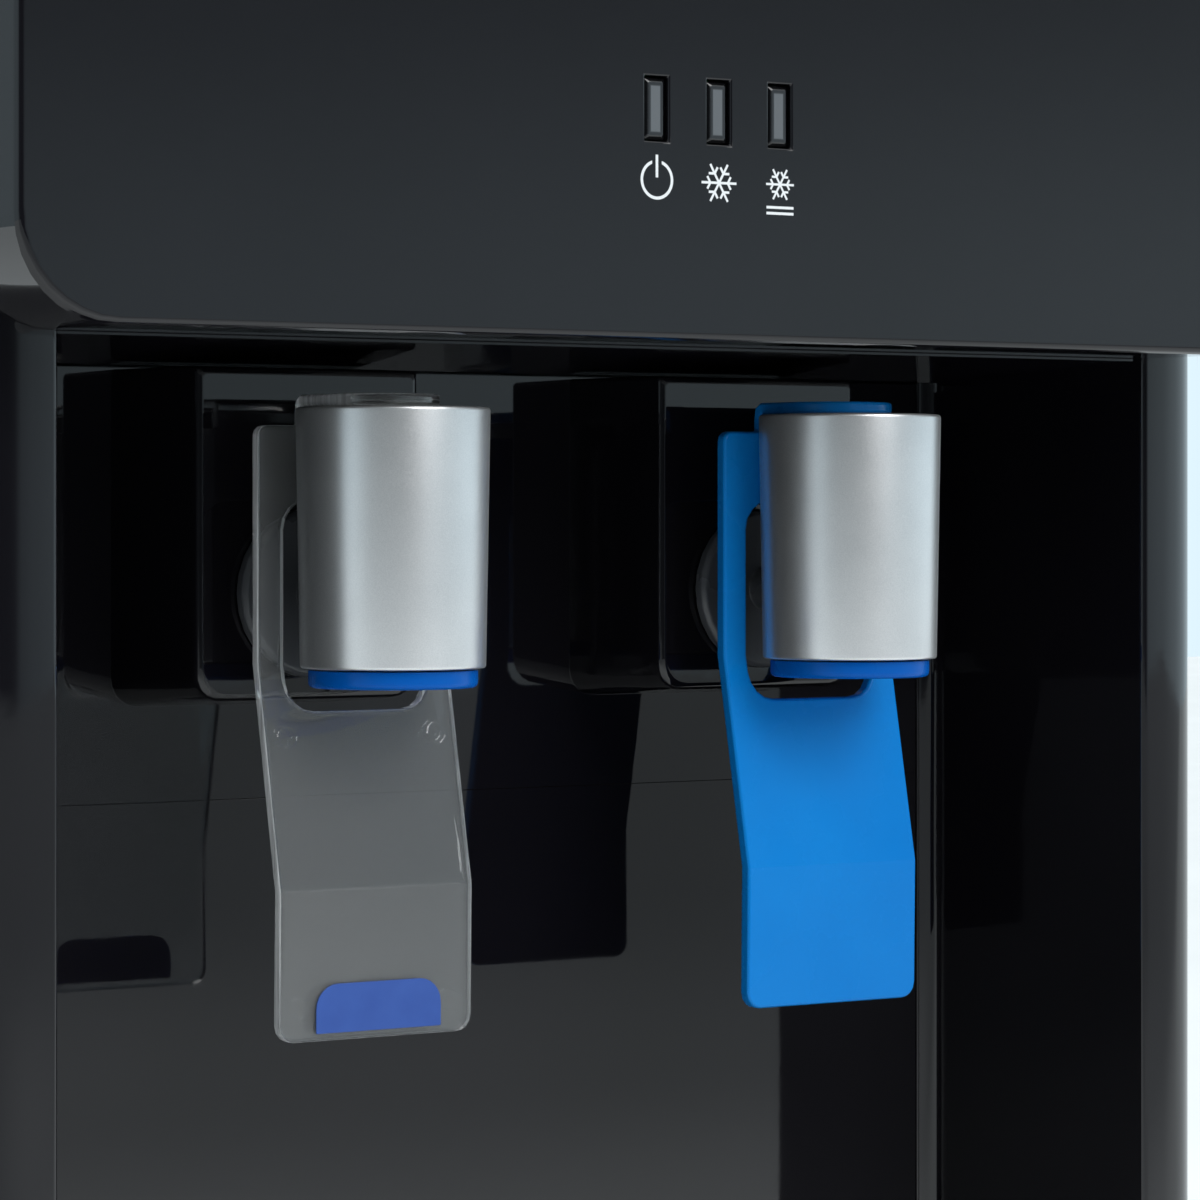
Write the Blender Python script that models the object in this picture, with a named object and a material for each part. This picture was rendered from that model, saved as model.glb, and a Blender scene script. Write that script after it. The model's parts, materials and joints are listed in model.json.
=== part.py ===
"""Countertop water dispenser with two push-lever taps, built as separate pieces in one frame.

Metres, +Z up, the front faces -Y, X runs to the right as seen from the front. The origin is under the
middle of the body on the surface it stands on. Every piece is one closed solid; pieces that meet keep GAP.
"""

import math

import bmesh
import bpy
from mathutils import Vector

MM = 0.001

# ---- driving dimensions ---------------------------------------------------------------------------
BODY_W = 313 * MM          # over the side panels
BODY_D = 385 * MM          # upper cover front to rear panel
BODY_H = 442 * MM          # feet to top cover
GAP = 0.3 * MM             # clearance between pieces that meet
WALL = 2.5 * MM            # moulded and sheet wall

FOOT_H = 8 * MM
FOOT_R = 11 * MM
FOOT_INSET = 32 * MM       # rear feet, in from each side
BASE_TOP = 48 * MM         # top of the front base moulding
BASE_CORNER_R = 22 * MM
LID_T = 6 * MM             # top cover
LID_RIM = 8 * MM
PAN_T = 1.5 * MM
PAN_WALL_H = 18 * MM
SIDE_CLEAR = 0.5 * MM      # sheet parts inside the side panels

COVER_H = 127 * MM         # upper cover and top cover together
COVER_PROUD = 26 * MM      # upper cover in front of the pillars
COVER_CORNER_R = 20 * MM
COVER_T = 3 * MM
PILLAR_W = 21.9 * MM       # face of each front pillar
PILLAR_R = 16 * MM         # outer corner of the front pillars
PILLAR_RETURN = 3 * MM
PILLAR_LIP = 1.5 * MM      # inner corner of the front pillars
ALCOVE_DEPTH = 69 * MM     # pillar front to alcove back wall
ALCOVE_DRAFT = 5.1 * MM    # each side wall closes in by this much at the back
ALCOVE_FILLET = 4.9 * MM
CEILING_FALL = 3.5 * MM    # the ceiling drops towards the wall
PANEL_GAP = 0.12 * MM      # the two wall panels butt closely
SPLIT_DROP = 22 * MM       # joint between the wall panels, below the bosses

TAP_PITCH = 114.4 * MM
TAP_OUT = 63 * MM          # tap axis in front of the alcove back wall
TAP_DROP = 13.5 * MM       # sleeve top below the upper cover
SLEEVE_R = 19.5 * MM
SLEEVE_TAPER = 0.9 * MM    # the sleeve narrows by this much on the way down
SLEEVE_T = 1.8 * MM
SLEEVE_H = 52.1 * MM
SLEEVE_CUT = 14.0 * MM     # flat opening at the back of the sleeve, behind the tap axis
RING_INSET = 1.6 * MM      # ring inside the sleeve's lower rim
RING_H = 3.6 * MM
RING_EDGE = 1.2 * MM
NOZZLE_R = 7.6 * MM
BORE_R = 5.5 * MM
CHAMBER_R = 9 * MM
CHAMBER_DROP = 11.5 * MM   # chamber roof below the sleeve top
CHAMBER_H = 34 * MM
SEAT_H = 4 * MM
STEM_R = 3 * MM
STEM_TIP_R = 1.2 * MM      # flat on the stem's cone, which clears the tilting cap
STEM_TIP_H = 1.2 * MM
SPRING_R = 6 * MM
SPRING_WIRE_R = 0.7 * MM
SPRING_TURNS = 5
SHANK_DROP = 37.5 * MM     # shank axis below the sleeve top
SHANK_R = 8 * MM
SHANK_NECK_R = 5 * MM
SHANK_BORE_R = 3 * MM
SHANK_TAIL = 20 * MM       # shank end behind the alcove wall
FLANGE_R = 17.5 * MM
FLANGE_T = 3 * MM
NUT_R = 14.5 * MM
NUT_T = 8 * MM

BOSS_DEPTH = 30 * MM
BOSS_HALF = 26.4 * MM      # half width at the front
BOSS_DRAFT = 3.8 * MM
BOSS_LOW = 22 * MM         # boss below the shank axis
BOSS_CORNER = 6 * MM

LEVER_SIDE = 3 * MM        # lever beyond the sleeve on each side
LEVER_T = 2.9 * MM
LEVER_BACK = 14.7 * MM     # plate front face behind the tap axis, upper part
LEVER_KNEE = 5.7 * MM      # the same at the paddle
LEVER_LEAN = 0.4 * MM      # the paddle foot leans back this much
LEVER_DROP = 3.5 * MM      # lever shoulders below the sleeve top
LEVER_H = 123 * MM
LEVER_EDGE_R = 2 * MM      # shoulder corners
LEVER_FOOT_R = 3.4 * MM    # paddle corners
SHOULDER_H = 8 * MM
SLANT_DROP = 48 * MM       # start of the slant below the shoulders
SLANT_H = 45 * MM
WINDOW_FRAME = 6 * MM      # lever left beside its window
WINDOW_DROP = 15 * MM
WINDOW_H = 42.5 * MM
WINDOW_CORNER = 6 * MM
CAP_INSET = 6.7 * MM       # cap side inside the sleeve's radius
CAP_T = 2.4 * MM
CAP_NOSE = 6.5 * MM        # cap tip in front of the tap axis
PIVOT_OUT = 5.5 * MM       # lever pivot in front of the tap axis
PIVOT_RISE = 0.2 * MM
LABEL_HALF = 14.6 * MM
LABEL_RISE = 1.6 * MM
LABEL_H = 9.8 * MM
LABEL_TOP_R = 5 * MM
LABEL_FOOT_R = 0.3 * MM
LABEL_T = 0.25 * MM
LABEL_GAP = 0.12 * MM

LED_RISE = 46 * MM         # indicator windows above the cover's lower edge
LED_PITCH = 15.2 * MM
LED_W = 5.7 * MM
LED_H = 13 * MM
LENS_T = 6 * MM
LAMP_T = 1.4 * MM
BOARD_T = 1.6 * MM

TRAY_INSET = 34.5 * MM     # tray side in from the body side
TRAY_SHORT = 4.6 * MM      # tray back in front of the alcove wall
TRAY_Z0 = 16 * MM
TRAY_FLOOR = 2.5 * MM
TRAY_RIM = 2.5 * MM        # wall around the grille
TRAY_LEDGE = 3 * MM        # ledge the grille rests on
TRAY_FRONT = 2 * MM        # extra thickness of the tray front
GRILLE_T = 3 * MM
GRILLE_BAR = 3 * MM
GRILLE_BARS = 34
GRILLE_RIM = 6 * MM

SHELF_Z = 206 * MM
TANK_R = 72 * MM
TANK_RISE = 25 * MM        # tank above its shelf
TANK_HEADROOM = 51 * MM    # tank top below the body top
TANK_BACK = 14 * MM        # foam jacket behind the alcove web
TANK_WALL = 0.8 * MM
TANK_PORT_R = 4.5 * MM
FOAM_T = 19 * MM
TUBE_R = 4.5 * MM
TUBE_BORE_R = 3 * MM

SERVICE_INSET = 56.5 * MM  # rear fittings in from each side
FITTING_R = 8 * MM         # inlet fitting and drain plug through the rear panel
SPINDLE_R = 4 * MM
WATER_Z = 80 * MM
DRAIN_Z = 60 * MM
INLET_Z = 75 * MM          # middle of the power inlet
INLET_HALF_W = 15 * MM
INLET_HALF_H = 29 * MM
ROCKER_HALF = 10.2 * MM
ROCKER_CLEAR = 1.8 * MM    # room around the rocker for its tilt
THERMOSTAT_HALF_H = 20 * MM
THERMOSTAT_DROP = 28 * MM  # thermostat axis below the top cover
KNOB_R = 15 * MM
KNOB_H = 13 * MM
KNOB_GAP = 3 * MM
VENT_LOW = 150 * MM        # first rear vent slot
VENT_PITCH = 14 * MM
VENT_H = 5 * MM
VENT_W = 56 * MM
VENT_WEB = 8 * MM
VENT_HEADROOM = 52 * MM    # plain rear panel above the slots
SIDE_VENT_LOW = 60 * MM
SIDE_VENT_PITCH = 10 * MM
SIDE_VENT_H = 4 * MM
SIDE_VENT_L = 90 * MM
SIDE_VENT_BACK = 40 * MM
SIDE_VENT_ROWS = 9
COIL_INSET = 38.5 * MM     # condenser bends in from each side
COIL_PITCH = 30 * MM
COIL_LOW = 140 * MM
COIL_CLEAR = 5 * MM        # condenser below the thermostat
COIL_R = 2.6 * MM
COMPRESSOR_X = -38 * MM
COMPRESSOR_BACK = 120 * MM # compressor axis in front of the rear panel
GROMMET_H = 14 * MM

# ---- derived --------------------------------------------------------------------------------------
HALF_W = BODY_W / 2
REAR_PROUD = KNOB_GAP + GAP + KNOB_H   # the knob stands out furthest behind the rear panel
COVER_Y = -(BODY_D + REAR_PROUD) / 2
REAR_Y = COVER_Y + BODY_D
PILLAR_Y = COVER_Y + COVER_PROUD
WALL_Y = PILLAR_Y + ALCOVE_DEPTH
WEB_Y = WALL_Y + WALL + GAP
TAP_Y = WALL_Y - TAP_OUT
TAP_X = TAP_PITCH / 2
LID_Z = BODY_H - LID_T
BODY_TOP = LID_Z - GAP
COVER_BOTTOM = BODY_H - COVER_H
PAN_Z = FOOT_H + GAP
PAN_Y = WEB_Y + WALL - 0.7 * MM + GAP
SHEET_HALF = HALF_W - WALL - SIDE_CLEAR
SIDE_Y = PILLAR_Y + PILLAR_R + PILLAR_RETURN + GAP
REAR_IN = REAR_Y - COVER_T
ALCOVE_HALF = HALF_W - PILLAR_W
FILLET_X = ALCOVE_HALF - ALCOVE_DRAFT - ALCOVE_FILLET
PANEL_HALF = FILLET_X - GAP
CEIL_BACK = COVER_BOTTOM - 0.5 * MM - CEILING_FALL
PANEL_TOP = CEIL_BACK - GAP
SLEEVE_TOP = COVER_BOTTOM - TAP_DROP
SLEEVE_R_LOW = SLEEVE_R - SLEEVE_TAPER
SLEEVE_BOTTOM = SLEEVE_TOP - SLEEVE_H
SHANK_Z = SLEEVE_TOP - SHANK_DROP
RING_R = SLEEVE_R_LOW - RING_INSET
RING_TOP = SLEEVE_BOTTOM - GAP
RING_BOTTOM = RING_TOP - RING_H
CHAMBER_TOP = SLEEVE_TOP - CHAMBER_DROP
CHAMBER_LOW = CHAMBER_TOP - CHAMBER_H
SEAT_Z = CHAMBER_LOW - SEAT_H
CAP_Z = SLEEVE_TOP + GAP
BOSS_FRONT = WALL_Y - BOSS_DEPTH
BOSS_BOTTOM = SHANK_Z - BOSS_LOW
PANEL_SPLIT = BOSS_BOTTOM - SPLIT_DROP
BODY_IN_R = SLEEVE_R_LOW - SLEEVE_T - GAP
LEVER_PIVOT = (TAP_Y - PIVOT_OUT, CAP_Z + PIVOT_RISE)
LEVER_HALF = SLEEVE_R + LEVER_SIDE
WINDOW_HALF = LEVER_HALF - WINDOW_FRAME
CAP_HALF = SLEEVE_R - CAP_INSET
LEVER_TOP = SLEEVE_TOP - LEVER_DROP
LEVER_BOTTOM = LEVER_TOP - LEVER_H
SLANT_TOP = LEVER_TOP - SLANT_DROP
SLANT_BOTTOM = SLANT_TOP - SLANT_H
WINDOW_TOP = LEVER_TOP - WINDOW_DROP
WINDOW_BOTTOM = WINDOW_TOP - WINDOW_H
LED_Z = COVER_BOTTOM + LED_RISE
TRAY_HALF = HALF_W - TRAY_INSET
TRAY_BACK = WALL_Y - TRAY_SHORT
TANK_Y = WEB_Y + WALL + TANK_BACK + FOAM_T + TANK_R
TANK_Z0 = SHELF_Z + TANK_RISE
TANK_TOP = BODY_H - TANK_HEADROOM
SERVICE_X = HALF_W - SERVICE_INSET
THERMOSTAT_Z = LID_Z - THERMOSTAT_DROP
PAN_FLOOR = PAN_Z + PAN_T + GAP
VENT_ROWS = int((BODY_TOP - VENT_HEADROOM - VENT_LOW) / VENT_PITCH) + 1
COIL_ROWS = int((THERMOSTAT_Z - THERMOSTAT_HALF_H - COIL_CLEAR - COIL_LOW) / COIL_PITCH) + 1


# ---- helpers --------------------------------------------------------------------------------------
def wipe():
    for obj in list(bpy.data.objects):
        bpy.data.objects.remove(obj, do_unlink=True)


def material(name, rgb, roughness, metallic=0.0, alpha=1.0):
    mat = bpy.data.materials.new(name)
    mat.use_nodes = True
    shader = mat.node_tree.nodes["Principled BSDF"]
    linear = [((c / 255 + 0.055) / 1.055) ** 2.4 if c > 10 else c / 255 / 12.92 for c in rgb]
    shader.inputs["Base Color"].default_value = (*linear, 1.0)
    shader.inputs["Roughness"].default_value = roughness
    shader.inputs["Metallic"].default_value = metallic
    shader.inputs["Alpha"].default_value = alpha
    return mat


def group(name, at=(0, 0, 0)):
    empty = bpy.data.objects.new(name, None)
    empty.location = at
    bpy.context.scene.collection.objects.link(empty)
    return empty


def put(name, solid, look, parent, origin=None, smooth=True):
    """One node from (vertices, faces) in world metres; its origin sits at origin (world)."""
    base = Vector(parent.location) if parent else Vector((0, 0, 0))
    origin = Vector(origin) if origin else base
    mesh = bpy.data.meshes.new(name)
    mesh.from_pydata([tuple(Vector(v) - origin) for v in solid[0]], [], solid[1])
    bm = bmesh.new()
    bm.from_mesh(mesh)
    bmesh.ops.recalc_face_normals(bm, faces=bm.faces)
    bm.to_mesh(mesh)
    bm.free()
    if smooth:
        mesh.shade_smooth()
        mesh.set_sharp_from_angle(angle=math.radians(32))
    obj = bpy.data.objects.new(name, mesh)
    obj.parent = parent
    obj.location = origin - base
    bpy.context.scene.collection.objects.link(obj)
    if look:
        mesh.materials.append(material(name + "_look", *look))
    return obj


def boolean(obj, solid, operation="DIFFERENCE"):
    tool = put(obj.name + "_tool_" + str(len(obj.modifiers)), solid, None, None, smooth=False)
    tool.hide_render = True
    tool.display_type = "WIRE"
    mod = obj.modifiers.new(operation.title(), "BOOLEAN")
    mod.operation = operation
    mod.solver = "EXACT"
    mod.object = tool


def several(solids):
    verts, faces = [], []
    for v, f in solids:
        n = len(verts)
        verts += list(v)
        faces += [tuple(i + n for i in face) for face in f]
    return verts, faces


def block(x0, x1, y0, y1, z0, z1):
    verts = [(x, y, z) for z in (z0, z1) for y in (y0, y1) for x in (x0, x1)]
    return verts, [(0, 2, 3, 1), (4, 5, 7, 6), (0, 1, 5, 4), (2, 6, 7, 3), (0, 4, 6, 2), (1, 3, 7, 5)]


def loft(loops):
    """Closed solid through loops of equal length, flat ends."""
    n = len(loops[0])
    verts = [p for loop in loops for p in loop]
    faces = [tuple(range(n))[::-1], tuple(range((len(loops) - 1) * n, len(loops) * n))]
    for i in range(len(loops) - 1):
        for j in range(n):
            k = (j + 1) % n
            faces.append((i * n + j, i * n + k, (i + 1) * n + k, (i + 1) * n + j))
    return verts, faces


def arc(cx, cy, r, a0, a1, n):
    angles = [math.radians(a0 + (a1 - a0) * i / n) for i in range(n + 1)]
    return [(cx + r * math.cos(a), cy + r * math.sin(a)) for a in angles]


def round_rect(x0, x1, y0, y1, radii, n=5):
    """Counter-clockwise outline; radii for the corners low-left, low-right, high-right, high-left."""
    a, b, c, d = radii
    return (arc(x0 + a, y0 + a, a, 180, 270, n) + arc(x1 - b, y0 + b, b, 270, 360, n)
            + arc(x1 - c, y1 - c, c, 0, 90, n) + arc(x0 + d, y1 - d, d, 90, 180, n))


def up(outline, z0, z1):
    return loft([[(x, y, z) for x, y in outline] for z in (z0, z1)])


def back(outline, y0, y1):
    return loft([[(x, y, z) for x, z in outline] for y in (y0, y1)])


def lathe(profile, centre, axis="Z", n=32, closed=True):
    """Solid of revolution; closed profiles are rings, open ones start and end on the axis."""
    cx, cy, cz = centre
    verts, rows = [], []
    for r, h in profile:
        row = []
        for j in range(1 if r < 1e-7 else n):
            a = 2 * math.pi * j / n
            u, v = r * math.cos(a), r * math.sin(a)
            verts.append((cx + u, cy + v, cz + h) if axis == "Z" else (cx + u, cy + h, cz + v))
            row.append(len(verts) - 1)
        rows.append(row)
    faces = []
    pairs = list(zip(rows, rows[1:] + rows[:1])) if closed else list(zip(rows, rows[1:]))
    for a, b in pairs:
        for j in range(n):
            k = (j + 1) % n
            quad = [a[j % len(a)], a[k % len(a)], b[k % len(b)], b[j % len(b)]]
            face = []
            for i in quad:
                if i not in face:
                    face.append(i)
            if len(face) > 2:
                faces.append(tuple(face))
    return verts, faces


def rod(r, y0, y1, x, z, n=24):
    """Cylinder along Y."""
    return lathe([(0, y0), (r, y0), (r, y1), (0, y1)], (x, 0, z), "Y", n, False)


def smooth_path(points, radius, n=4):
    """Corners of a polyline rounded with n steps each."""
    pts = [Vector(p) for p in points]
    out = [pts[0]]
    for a, b, c in zip(pts, pts[1:], pts[2:]):
        r = min(radius, (b - a).length * 0.45, (c - b).length * 0.45)
        p, q = b + (a - b).normalized() * r, b + (c - b).normalized() * r
        for i in range(n + 1):
            t = i / n
            out.append(p * (1 - t) ** 2 + b * 2 * t * (1 - t) + q * t ** 2)
    out.append(pts[-1])
    return out


def tube(points, r_out, r_in=0.0, n=8):
    """Round section carried along a path; hollow and open at both ends when r_in is given."""
    pts = [Vector(p) for p in points]
    tangent = (pts[1] - pts[0]).normalized()
    side = tangent.orthogonal().normalized()
    loops_out, loops_in = [], []
    for i, p in enumerate(pts):
        a, b = pts[max(i - 1, 0)], pts[min(i + 1, len(pts) - 1)]
        t = (b - a).normalized()
        side = (side - t * side.dot(t)).normalized()
        other = t.cross(side)
        turn = [(math.cos(2 * math.pi * j / n), math.sin(2 * math.pi * j / n)) for j in range(n)]
        loops_out.append([p + (side * c + other * s) * r_out for c, s in turn])
        loops_in.append([p + (side * c + other * s) * r_in for c, s in turn])
    if r_in <= 0:
        return loft(loops_out)
    loops = loops_out + loops_in[::-1]
    m = len(loops)
    verts = [q for loop in loops for q in loop]
    faces = []
    for i in range(m):
        k = (i + 1) % m
        for j in range(n):
            q = (j + 1) % n
            faces.append((i * n + j, i * n + q, k * n + q, k * n + j))
    return verts, faces


# ---- looks: colour, roughness, metallic, alpha ----------------------------------------------------
GLOSS_BLACK = ((24, 26, 30), 0.12)
SATIN_BLACK = ((30, 31, 34), 0.35)
SIDE_PAINT = ((34, 36, 40), 0.3)
STEEL = ((176, 178, 180), 0.3, 1.0)
ALUMINIUM = ((196, 198, 200), 0.28, 1.0)
ZINC = ((150, 153, 156), 0.4, 1.0)
BLUE = ((22, 112, 190), 0.3)
CLEAR = ((232, 238, 240), 0.08, 0.0, 0.35)
STICKER = ((58, 92, 172), 0.35)
RING_BLUE = ((13, 78, 165), 0.3)
LENS = ((84, 86, 90), 0.2)
RUBBER = ((26, 26, 27), 0.85)
WHITE_PLASTIC = ((222, 224, 222), 0.4)
BOARD_GREEN = ((24, 92, 58), 0.5)
FOAM = ((236, 234, 224), 0.9)
PIPE = ((205, 212, 216), 0.3)
COPPER = ((178, 104, 66), 0.3, 1.0)
ENAMEL = ((22, 22, 24), 0.25)


# ---- body -----------------------------------------------------------------------------------------
def alcove_liner(parent):
    """Front pillars, alcove side walls and the web behind the wall panels, one plan section run up."""
    y0 = PILLAR_Y + PILLAR_R
    corner_x = HALF_W - PILLAR_R
    in_x = ALCOVE_HALF
    lip = PILLAR_LIP
    back_x = ALCOVE_HALF - ALCOVE_DRAFT
    outer = [(HALF_W, y0 + PILLAR_RETURN)] + arc(corner_x, y0, PILLAR_R, 0, -90, 7)
    outer += arc(in_x + lip, PILLAR_Y + lip, lip, -90, -180, 3)
    outer += arc(FILLET_X, WALL_Y - ALCOVE_FILLET - 0.1 * MM, ALCOVE_FILLET, 0, 90, 4)
    outer += [(FILLET_X, WEB_Y)]
    hidden = [(FILLET_X + 1.5 * MM, WEB_Y + WALL), (back_x + WALL, WALL_Y - 1 * MM),
              (back_x + WALL, WALL_Y - ALCOVE_FILLET), (in_x + WALL, PILLAR_Y + WALL),
              (corner_x, PILLAR_Y + WALL)]
    hidden += arc(corner_x, y0, PILLAR_R - WALL, -90, 0, 7)[1:] + [(HALF_W - WALL, y0 + PILLAR_RETURN)]
    right = outer + hidden
    left = [(-x, y) for x, y in right]
    half = len(outer)
    outline = outer + left[:half][::-1] + left[half:][::-1] + hidden
    obj = put("alcove_liner", up(outline, BASE_TOP + GAP, BODY_TOP), GLOSS_BLACK, parent)
    holes = [rod(SHANK_R + GAP, WALL_Y, WEB_Y + 2 * WALL, s * TAP_X, SHANK_Z) for s in (-1, 1)]
    boolean(obj, several(holes))


def boss_loops(x, grow, y_rows):
    """Outlines of one tap boss at each (y, inset) row."""
    loops = []
    for y, inset in y_rows:
        flare = BOSS_DRAFT * (y - BOSS_FRONT) / BOSS_DEPTH
        half = BOSS_HALF + flare + grow - inset
        low = BOSS_BOTTOM - flare * 0.5 - grow + inset
        top = PANEL_TOP - 0.4 * MM + min(grow, 0) - inset
        c = max(BOSS_CORNER + grow, 1.5 * MM)
        loops.append([(px, y, pz) for px, pz in round_rect(x - half, x + half, low, top,
                                                           (c, c, 1 * MM, 1 * MM))])
    return loops


def wall_panels(parent):
    """Upper panel carrying the two tap bosses, lower splash panel."""
    tap_panel = put("tap_panel", block(-PANEL_HALF, PANEL_HALF, WALL_Y, WALL_Y + WALL,
                                       PANEL_SPLIT + PANEL_GAP / 2, PANEL_TOP), GLOSS_BLACK, parent)
    e = 1.6 * MM
    rows = [(WALL_Y + 1.2 * MM, 0), (WALL_Y, 0), (BOSS_FRONT + e, 0), (BOSS_FRONT + e * 0.62, e * 0.08),
            (BOSS_FRONT + e * 0.29, e * 0.29), (BOSS_FRONT + e * 0.08, e * 0.62), (BOSS_FRONT, e)]
    boolean(tap_panel, several([loft(boss_loops(s * TAP_X, 0, rows)) for s in (-1, 1)]), "UNION")
    inner = [(WALL_Y + 2 * WALL, 0), (WALL_Y, 0), (BOSS_FRONT + WALL, 0)]
    boolean(tap_panel, several([loft(boss_loops(s * TAP_X, -WALL, inner)) for s in (-1, 1)]))
    boolean(tap_panel, several([rod(SHANK_R + GAP, BOSS_FRONT - WALL, BOSS_FRONT + 2 * WALL, s * TAP_X,
                                    SHANK_Z) for s in (-1, 1)]))
    put("splash_panel", block(-PANEL_HALF, PANEL_HALF, WALL_Y, WALL_Y + WALL, BASE_TOP + 2 * GAP,
                              PANEL_SPLIT - PANEL_GAP / 2), GLOSS_BLACK, parent)


def ceiling(parent):
    """Sloping ceiling of the alcove, fitted between the side walls."""
    y_front = PILLAR_Y + GAP
    wall_x = ALCOVE_HALF - 0.35 * MM
    plan = [(wall_x - 0.3 * MM, y_front + 2 * MM), (wall_x - ALCOVE_DRAFT, WALL_Y - ALCOVE_FILLET - 1 * MM),
            (FILLET_X - 2 * GAP, WALL_Y - 0.6 * MM), (FILLET_X - 2 * GAP, WALL_Y + WALL)]
    plan = plan + [(-x, y) for x, y in plan[::-1]]

    def under(y):
        return CEIL_BACK + CEILING_FALL * (WALL_Y - y) / ALCOVE_DEPTH

    put("alcove_ceiling", loft([[(x, y, under(y) + dz) for x, y in plan] for dz in (0, WALL)]),
        GLOSS_BLACK, parent)


def upper_cover(parent):
    """Front cover above the alcove: a shell open at the back with three windows."""
    r = COVER_CORNER_R
    top = 3 * MM
    rows = [(PILLAR_Y - GAP, 0), (COVER_Y + 1.6 * MM, 0), (COVER_Y + 0.5 * MM, 0.45 * MM),
            (COVER_Y, 1.6 * MM)]
    outer = [[(x, y, z) for x, z in round_rect(-HALF_W + i, HALF_W - i, COVER_BOTTOM + i, BODY_TOP - i,
                                               (r, r, top, top), 8)] for y, i in rows]
    obj = put("front_upper_cover", loft(outer), GLOSS_BLACK, parent)
    inner = round_rect(-HALF_W + COVER_T, HALF_W - COVER_T, COVER_BOTTOM + COVER_T, BODY_TOP - COVER_T,
                       (r - COVER_T, r - COVER_T, 1 * MM, 1 * MM), 8)
    boolean(obj, back(inner, COVER_Y + COVER_T, PILLAR_Y + 5 * MM))
    windows = []
    for i in (-1, 0, 1):
        x = i * LED_PITCH
        windows.append(block(x - LED_W / 2, x + LED_W / 2, COVER_Y - COVER_T, COVER_Y + 2 * COVER_T,
                             LED_Z - LED_H / 2, LED_Z + LED_H / 2))
    boolean(obj, several(windows))


def indicators(parent):
    """Three lenses in the cover's windows and the small board with their lamps."""
    names = ("power", "cooling", "cold")
    for i, name in zip((-1, 0, 1), names):
        x = i * LED_PITCH
        w, h = LED_W / 2 - GAP, LED_H / 2 - GAP
        loops = [[(px, y, pz) for px, pz in round_rect(x - w + c, x + w - c, LED_Z - h + c, LED_Z + h - c,
                                                       (0.5 * MM,) * 4, 2)]
                 for y, c in ((COVER_Y + LENS_T, 0), (COVER_Y + 1.1 * MM, 0), (COVER_Y + 0.5 * MM, 0.8 * MM))]
        put("indicator_lens_" + name, loft(loops), LENS, parent)
    y = COVER_Y + LENS_T + GAP + LAMP_T
    half, low, high = 30 * MM, LED_Z - 22 * MM, LED_Z + 20 * MM
    board = put("indicator_board", block(-half, half, y, y + BOARD_T, low, high), BOARD_GREEN, parent)
    lamp_w, lamp_h = 1.6 * MM, 2.5 * MM
    fitted = []
    for i in (-1, 0, 1):
        x = i * LED_PITCH
        fitted.append(block(x - lamp_w, x + lamp_w, y - LAMP_T, y + BOARD_T / 3, LED_Z - lamp_h,
                            LED_Z + lamp_h))
    socket_w, socket_t = 9 * MM, 6 * MM
    fitted.append(block(-socket_w, socket_w, y + BOARD_T / 2, y + socket_t, low + 4 * MM, low + 13 * MM))
    boolean(board, several(fitted), "UNION")


def front_base(parent):
    """Base moulding under the alcove with a front pocket for the drip tray."""
    r = BASE_CORNER_R
    plan = round_rect(-HALF_W, HALF_W, COVER_Y, PAN_Y - GAP, (r, r, 0.5 * MM, 0.5 * MM), 7)

    def inset(outline, d):
        return [(x - math.copysign(d, x), y + d if y < PILLAR_Y + PILLAR_R else y) for x, y in outline]

    obj = put("front_base", loft([[(x, y, PAN_Z) for x, y in inset(plan, 1 * MM)],
                                  [(x, y, PAN_Z + 1 * MM) for x, y in plan],
                                  [(x, y, BASE_TOP - 1.5 * MM) for x, y in plan],
                                  [(x, y, BASE_TOP) for x, y in inset(plan, 1.5 * MM)]]), GLOSS_BLACK, parent)
    over = 5 * MM
    boolean(obj, block(-TRAY_HALF - GAP, TRAY_HALF + GAP, COVER_Y - over, TRAY_BACK + GAP, TRAY_Z0,
                       BASE_TOP + over))
    skin = 4 * MM
    hollows = []
    for s in (-1, 1):
        a, b = sorted((s * (TRAY_HALF + skin), s * (HALF_W - skin)))
        hollows.append(block(a, b, PILLAR_Y, WALL_Y - skin, 0, BASE_TOP - skin))
    recess_half, recess_depth = 40 * MM, 17 * MM
    hollows.append(block(-recess_half, recess_half, COVER_Y - over, COVER_Y + recess_depth, 0,
                         TRAY_Z0 + 1 * MM))
    boolean(obj, several(hollows))


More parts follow.
